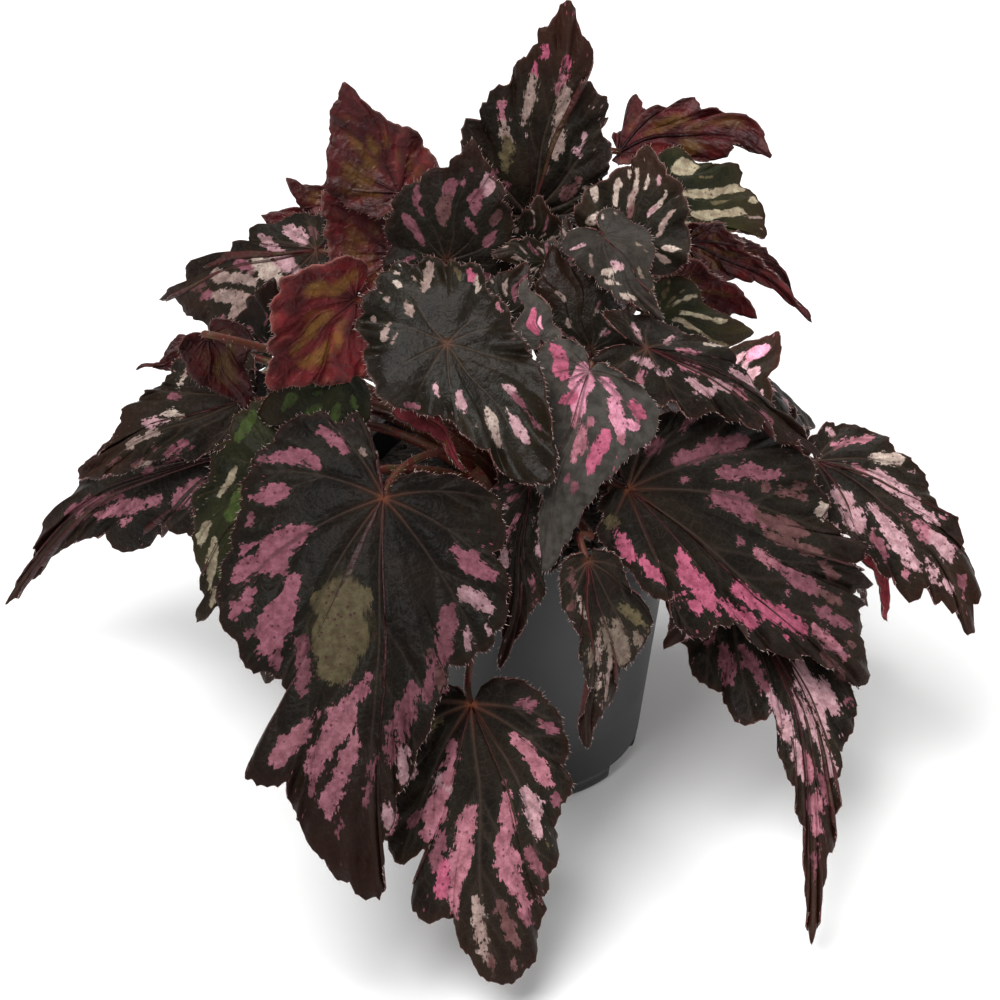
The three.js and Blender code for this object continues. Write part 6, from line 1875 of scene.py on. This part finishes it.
# ---------------- pot and soil
@dataclass
class Pot:
    """The tapered nursery pot with its rolled lip and notched foot ring, in millimetres.

    Attributes:
        height: height of the pot.
        base_radius: outer radius at the foot.
        top_radius: outer radius of the wall at the top.
        wall: wall thickness.
        rim_depth: depth of the lip.
        rim_reach: how far the lip stands out.
        floor_radius: radius of the flat floor.
        floor_thick: thickness of the floor.
        channel: height of the channel round the floor.
        channel_thick: thickness over the channel.
        foot: thickness of the foot ring.
        notches: how many notches the foot ring has.
        notch_half: half the angle of a notch, in degrees.
        notch_height: height of a notch.
        notch_first: angle of the first notch.
        segments: steps of a full turn.
        dark: the plastic's colour.
        dusty: its colour under dust.
    """

    height: float = 150.0
    base_radius: float = 55.0
    top_radius: float = 71.5
    wall: float = 1.6
    rim_depth: float = 7.0
    rim_reach: float = 2.0
    floor_radius: float = 43.0
    floor_thick: float = 3.0
    channel: float = 9.5
    channel_thick: float = 1.8
    foot: float = 2.6
    notches: int = 6
    notch_half: float = 13.5
    notch_height: float = 8.0
    notch_first: float = -28.5
    segments: int = 180
    dark: str = "1e1e1f"
    dusty: str = "363532"

    def radius(self, height: float) -> float:
        """Outer radius of the wall at a height."""
        return self.base_radius + (self.top_radius - self.base_radius) * height / self.height

    def arc(self, middle: Pair, radius: float, start: float, end: float, steps: int = 5) -> list[Pair]:
        """Points of an arc in the profile, angles in degrees."""
        angles = [math.radians(start + (end - start) * i / steps) for i in range(steps + 1)]
        return [(middle[0] + radius * math.cos(a), middle[1] + radius * math.sin(a)) for a in angles]

    def profile(self) -> list[Pair]:
        """The closed profile of everything above the notches."""
        lip = self.height - self.rim_depth
        top = self.radius(self.height) + self.rim_reach
        inner_top = self.channel + self.channel_thick
        inside = self.radius(self.height) - self.wall
        points = [(0.0, 0.0), (self.floor_radius, 0.0), (self.floor_radius + 1.5, self.channel),
                  (self.base_radius - self.foot, self.channel),
                  (self.base_radius - self.foot, self.notch_height),
                  (self.radius(self.notch_height), self.notch_height)]
        points += [(self.radius(h), h) for h in (40.0, 75.0, 110.0)]
        points += [(self.radius(lip), lip - 0.6), (self.radius(lip) + 0.5, lip)]
        points += self.arc((self.radius(lip) + self.rim_reach - 1.0, lip + 1.0), 1.0, -90, 0)
        points += self.arc((top - 1.2, self.height - 1.2), 1.2, 0, 90)
        points += self.arc((inside + 0.6, self.height - 0.6), 0.6, 90, 180)
        points += [(self.radius(inner_top) - self.wall, inner_top), (self.floor_radius, inner_top),
                   (self.floor_radius - 1.5, self.floor_thick), (0.0, self.floor_thick)]
        return points

    def turned(self, profile: Sequence[Pair], start: float = 0.0,
               sweep: float = 360.0) -> BMesh:
        """Turns a profile about the pot's axis.

        Args:
            profile: (radius, height) points; a full turn's start and end on the axis.
            start: angle of the first section, in degrees.
            sweep: angle turned through.

        Returns:
            The turned shape.
        """
        full = sweep == 360
        shape = bmesh.new()
        way = Vector((math.cos(math.radians(start)), math.sin(math.radians(start)), 0))
        verts = [shape.verts.new((way * r + Vector((0, 0, h))) * MM) for r, h in profile]
        edges = [shape.edges.new(pair) for pair in zip(verts[:-1], verts[1:])]
        if not full:
            edges.append(shape.edges.new((verts[-1], verts[0])))
            shape.faces.new(verts)
        steps = self.segments if full else max(6, int(self.segments * sweep / 360))
        geom = verts + edges if full else list(shape.faces) + edges
        bmesh.ops.spin(shape, geom=geom, cent=(0, 0, 0), axis=(0, 0, 1), steps=steps,
                       angle=math.radians(sweep), use_merge=full)
        bmesh.ops.remove_doubles(shape, verts=shape.verts, dist=1e-6)
        bmesh.ops.recalc_face_normals(shape, faces=shape.faces)
        return shape

    def build(self) -> None:
        """Builds the pot with its six feet as one piece."""
        pitch = 360 / self.notches
        inner = self.base_radius - self.foot
        ridge = self.notch_height + 0.6
        foot = [(inner, ridge), (inner, 0.5), (inner + 0.5, 0.0), (self.base_radius - 1.6, 0.0),
                (self.base_radius - 0.5, 0.9), (self.base_radius, 2.4),
                (self.radius(self.notch_height) - 0.02, ridge)]
        parts = [self.turned(self.profile())]
        for number in range(self.notches):
            start = self.notch_first + pitch * number + self.notch_half
            parts.append(self.turned(foot, start, pitch - 2 * self.notch_half))
        pot = to_mesh("nursery_pot", gather(parts))
        piece("nursery_pot", pot, [self.plastic()], ["pot"])

    def plastic(self) -> Material:
        """Makes the charcoal plastic: fine moulded grain and a few dusty marks."""
        s = Shader(Slot.POT.value)
        point = s.place()
        dust = s.noise(point, 30, 5, 0.6)
        grain = s.noise(point, 2600, 2)
        rings = s.noise(s.place((1, 1, 60)), 14, 2)
        colour = s.blend(dust.between(0.5, 0.8) * 0.35, self.dark, self.dusty)
        rough = 0.42 + dust * 0.16
        return s.finish(colour, rough, s.bump(grain * 0.6 + rings * 0.3, 0.00012), IOR=1.5)


@dataclass
class Soil:
    """Dark potting mix, mounded a little, with crumbs and bark on top, in millimetres.

    Attributes:
        top: height of the surface at the wall.
        mound: how much higher it is in the middle.
        radius: its radius at the top.
        below: radius and height of each ring that its underside turns at.
        segments: steps round it.
        cuts: steps from the middle to the wall, less one.
        seed: seed of its crumbs.
        crumbs: how many there are.
        strewn: how far out they lie.
        dark: colour of the peat.
        bark: colour of the bark.
        fibre: colour of the palest bits.
    """

    top: float = 137.0
    mound: float = 4.0
    radius: float = 67.4
    below: tuple[Pair, ...] = ((54.9, 12.0), (43.0, 11.8), (41.2, 3.5))
    segments: int = 96
    cuts: int = 22
    seed: int = 41
    crumbs: int = 260
    strewn: float = 66.0
    dark: str = "140d09"
    bark: str = "3a271b"
    fibre: str = "6b5a48"

    def height(self, x: float, y: float) -> float:
        """Height of the surface at a place, with small hollows and lumps."""
        away = min(1.0, math.hypot(x, y) / self.radius)
        wavy = math.sin(0.21 * x + 1) * math.cos(0.27 * y) + 0.5 * math.sin(0.63 * x - 0.4 * y)
        mound = self.mound * (1 - away * away)
        return self.top + mound + 0.5 * wavy * (1 - away ** 4) - 1.6 * away ** 8

    def build(self) -> None:
        """Builds the filling and its crumbs."""
        shape = bmesh.new()
        bmesh.ops.create_circle(shape, cap_ends=True, cap_tris=True, segments=self.segments,
                                radius=self.radius * MM)
        spokes = [edge for edge in shape.edges if len(edge.link_faces) == 2]
        bmesh.ops.subdivide_edges(shape, edges=spokes, cuts=self.cuts, use_grid_fill=True)
        border = [edge for edge in shape.edges if len(edge.link_faces) == 1]
        for vert in shape.verts:
            vert.co.z = self.height(vert.co.x / MM, vert.co.y / MM) * MM
        for radius, height in self.below:
            ring, border = extrude(shape, border)
            for vert in ring:
                flat = Vector((vert.co.x, vert.co.y, 0)).normalized() * radius
                vert.co = Vector((flat.x, flat.y, height)) * MM
        bmesh.ops.holes_fill(shape, edges=border, sides=0)
        bmesh.ops.recalc_face_normals(shape, faces=shape.faces)
        rng = np.random.default_rng(self.seed)
        for _ in range(self.crumbs):
            angle, away = rng.uniform(0, 2 * math.pi), self.strewn * math.sqrt(rng.uniform(0.08, 0.96))
            size = rng.uniform(0.7, 2.3)
            x, y = away * math.cos(angle), away * math.sin(angle)
            place = Matrix.Translation(Vector((x, y, self.height(x, y) + size * 0.15)) * MM)
            turn = Matrix.Rotation(rng.uniform(0, 6.28), 4, Vector(rng.normal(0, 1, 3)).normalized())
            squash = Matrix.Diagonal((1, rng.uniform(0.5, 1), rng.uniform(0.4, 0.8), 1))
            bmesh.ops.create_icosphere(shape, subdivisions=1, radius=size * MM,
                                       matrix=place @ turn @ squash)
        piece("potting_mix", to_mesh("potting_mix", shape), [self.peat()], ["soil"])

    def peat(self) -> Material:
        """Makes the dark, crumbly peat and bark."""
        s = Shader(Slot.SOIL.value)
        point = s.place()
        crumbs = s.cells(point, 420)
        cloud = s.noise(point, 160, 5, 0.65)
        colour = s.blend(cloud.between(0.35, 0.7), self.dark, self.bark)
        colour = s.blend(s.cells(point, 210).between(0.16, 0.05), colour, self.fibre)
        return s.finish(colour, 0.9, s.bump(crumbs + cloud, 0.0016), Sheen_Weight=0.05)


# ---------------- studio
@dataclass
class Studio:
    """A plain pale floor, soft lights and the photograph's camera.

    Attributes:
        elevation: the camera's angle above the floor, in degrees.
        distance: from the camera to the point it looks at, in millimetres.
        aim: that point.
        lens: focal length for a picture as wide as the sensor.
        sensor: the sensor's width.
        room: how strongly the white room lights the plant.
    """

    elevation: float = 35.5
    distance: float = 1500.0
    aim: Triple = (-9.0, 0.0, 131.0)
    lens: float = 121.0
    sensor: float = 36.0
    room: float = 0.3

    def build(self) -> None:
        """Sets the camera, the floor, the lights and the room."""
        angle = math.radians(self.elevation)
        back = Vector((0, -math.cos(angle), math.sin(angle)))
        data = bpy.data.cameras.new("camera")
        data.lens = self.lens
        data.sensor_width = self.sensor
        camera = bpy.data.objects.new("camera", data)
        camera.location = (Vector(self.aim) + back * self.distance) * MM
        camera.rotation_euler = (math.pi / 2 - angle, 0, 0)
        bpy.context.scene.collection.objects.link(camera)
        bpy.context.scene.camera = camera
        bpy.context.scene.view_settings.view_transform = "Standard"
        shape = bmesh.new()
        bmesh.ops.create_grid(shape, x_segments=8, y_segments=8, size=6)
        floor = bpy.data.objects.new("floor", to_mesh("floor", shape))
        floor.data.materials.append(self.paper())
        bpy.context.scene.collection.objects.link(floor)
        self.lamp("key", (-0.8, -0.9, 2.6), 1.8, 96)
        self.lamp("fill", (2.2, -0.8, 1.2), 1.2, 20)
        self.lamp("back", (0.6, 2.2, 2.2), 1.6, 40)
        world = bpy.data.worlds.new("room")
        world.use_nodes = True
        room = world.node_tree.nodes["Background"]
        room.inputs[0].default_value = (1, 1, 1, 1)
        room.inputs[1].default_value = self.room
        bpy.context.scene.world = world

    def lamp(self, name: str, place: Triple, size: float, power: float) -> None:
        """Adds one soft square light that looks at the plant.

        Args:
            name: its name.
            place: where it hangs, in metres.
            size: its side, in metres.
            power: its power in watts.
        """
        data = bpy.data.lights.new(name, "AREA")
        data.size = size
        data.energy = power
        lamp = bpy.data.objects.new(name, data)
        lamp.location = place
        way = Vector(self.aim) * MM - Vector(place)
        lamp.rotation_euler = way.to_track_quat("-Z", "Y").to_euler()
        bpy.context.scene.collection.objects.link(lamp)

    def paper(self) -> Material:
        """Makes the pale floor."""
        s = Shader("floor_paper")
        cloud = s.noise(s.place(), 3, 2)
        colour = s.blend(cloud, "f4f4f3", "f8f8f8")
        return s.finish(colour, 0.8, s.bump(cloud, 0.0001))


def main() -> None:
    """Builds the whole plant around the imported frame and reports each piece."""
    logging.basicConfig(level=logging.INFO, format="%(name)s: %(message)s")
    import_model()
    Studio().build()
    finishes = {finish.slot: (finish.upper(), finish.under()) for finish in FINISHES}
    blades = [Blade(shape, seed=100 + number) for number, shape in enumerate(LEAVES)]
    for blade in blades:
        blade.grow(finishes[blade.shape.slot])
    Crown(blades).build(StalkFinish())
    Soil().build()
    Pot().build()
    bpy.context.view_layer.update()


if __name__ == "__main__":
    main()
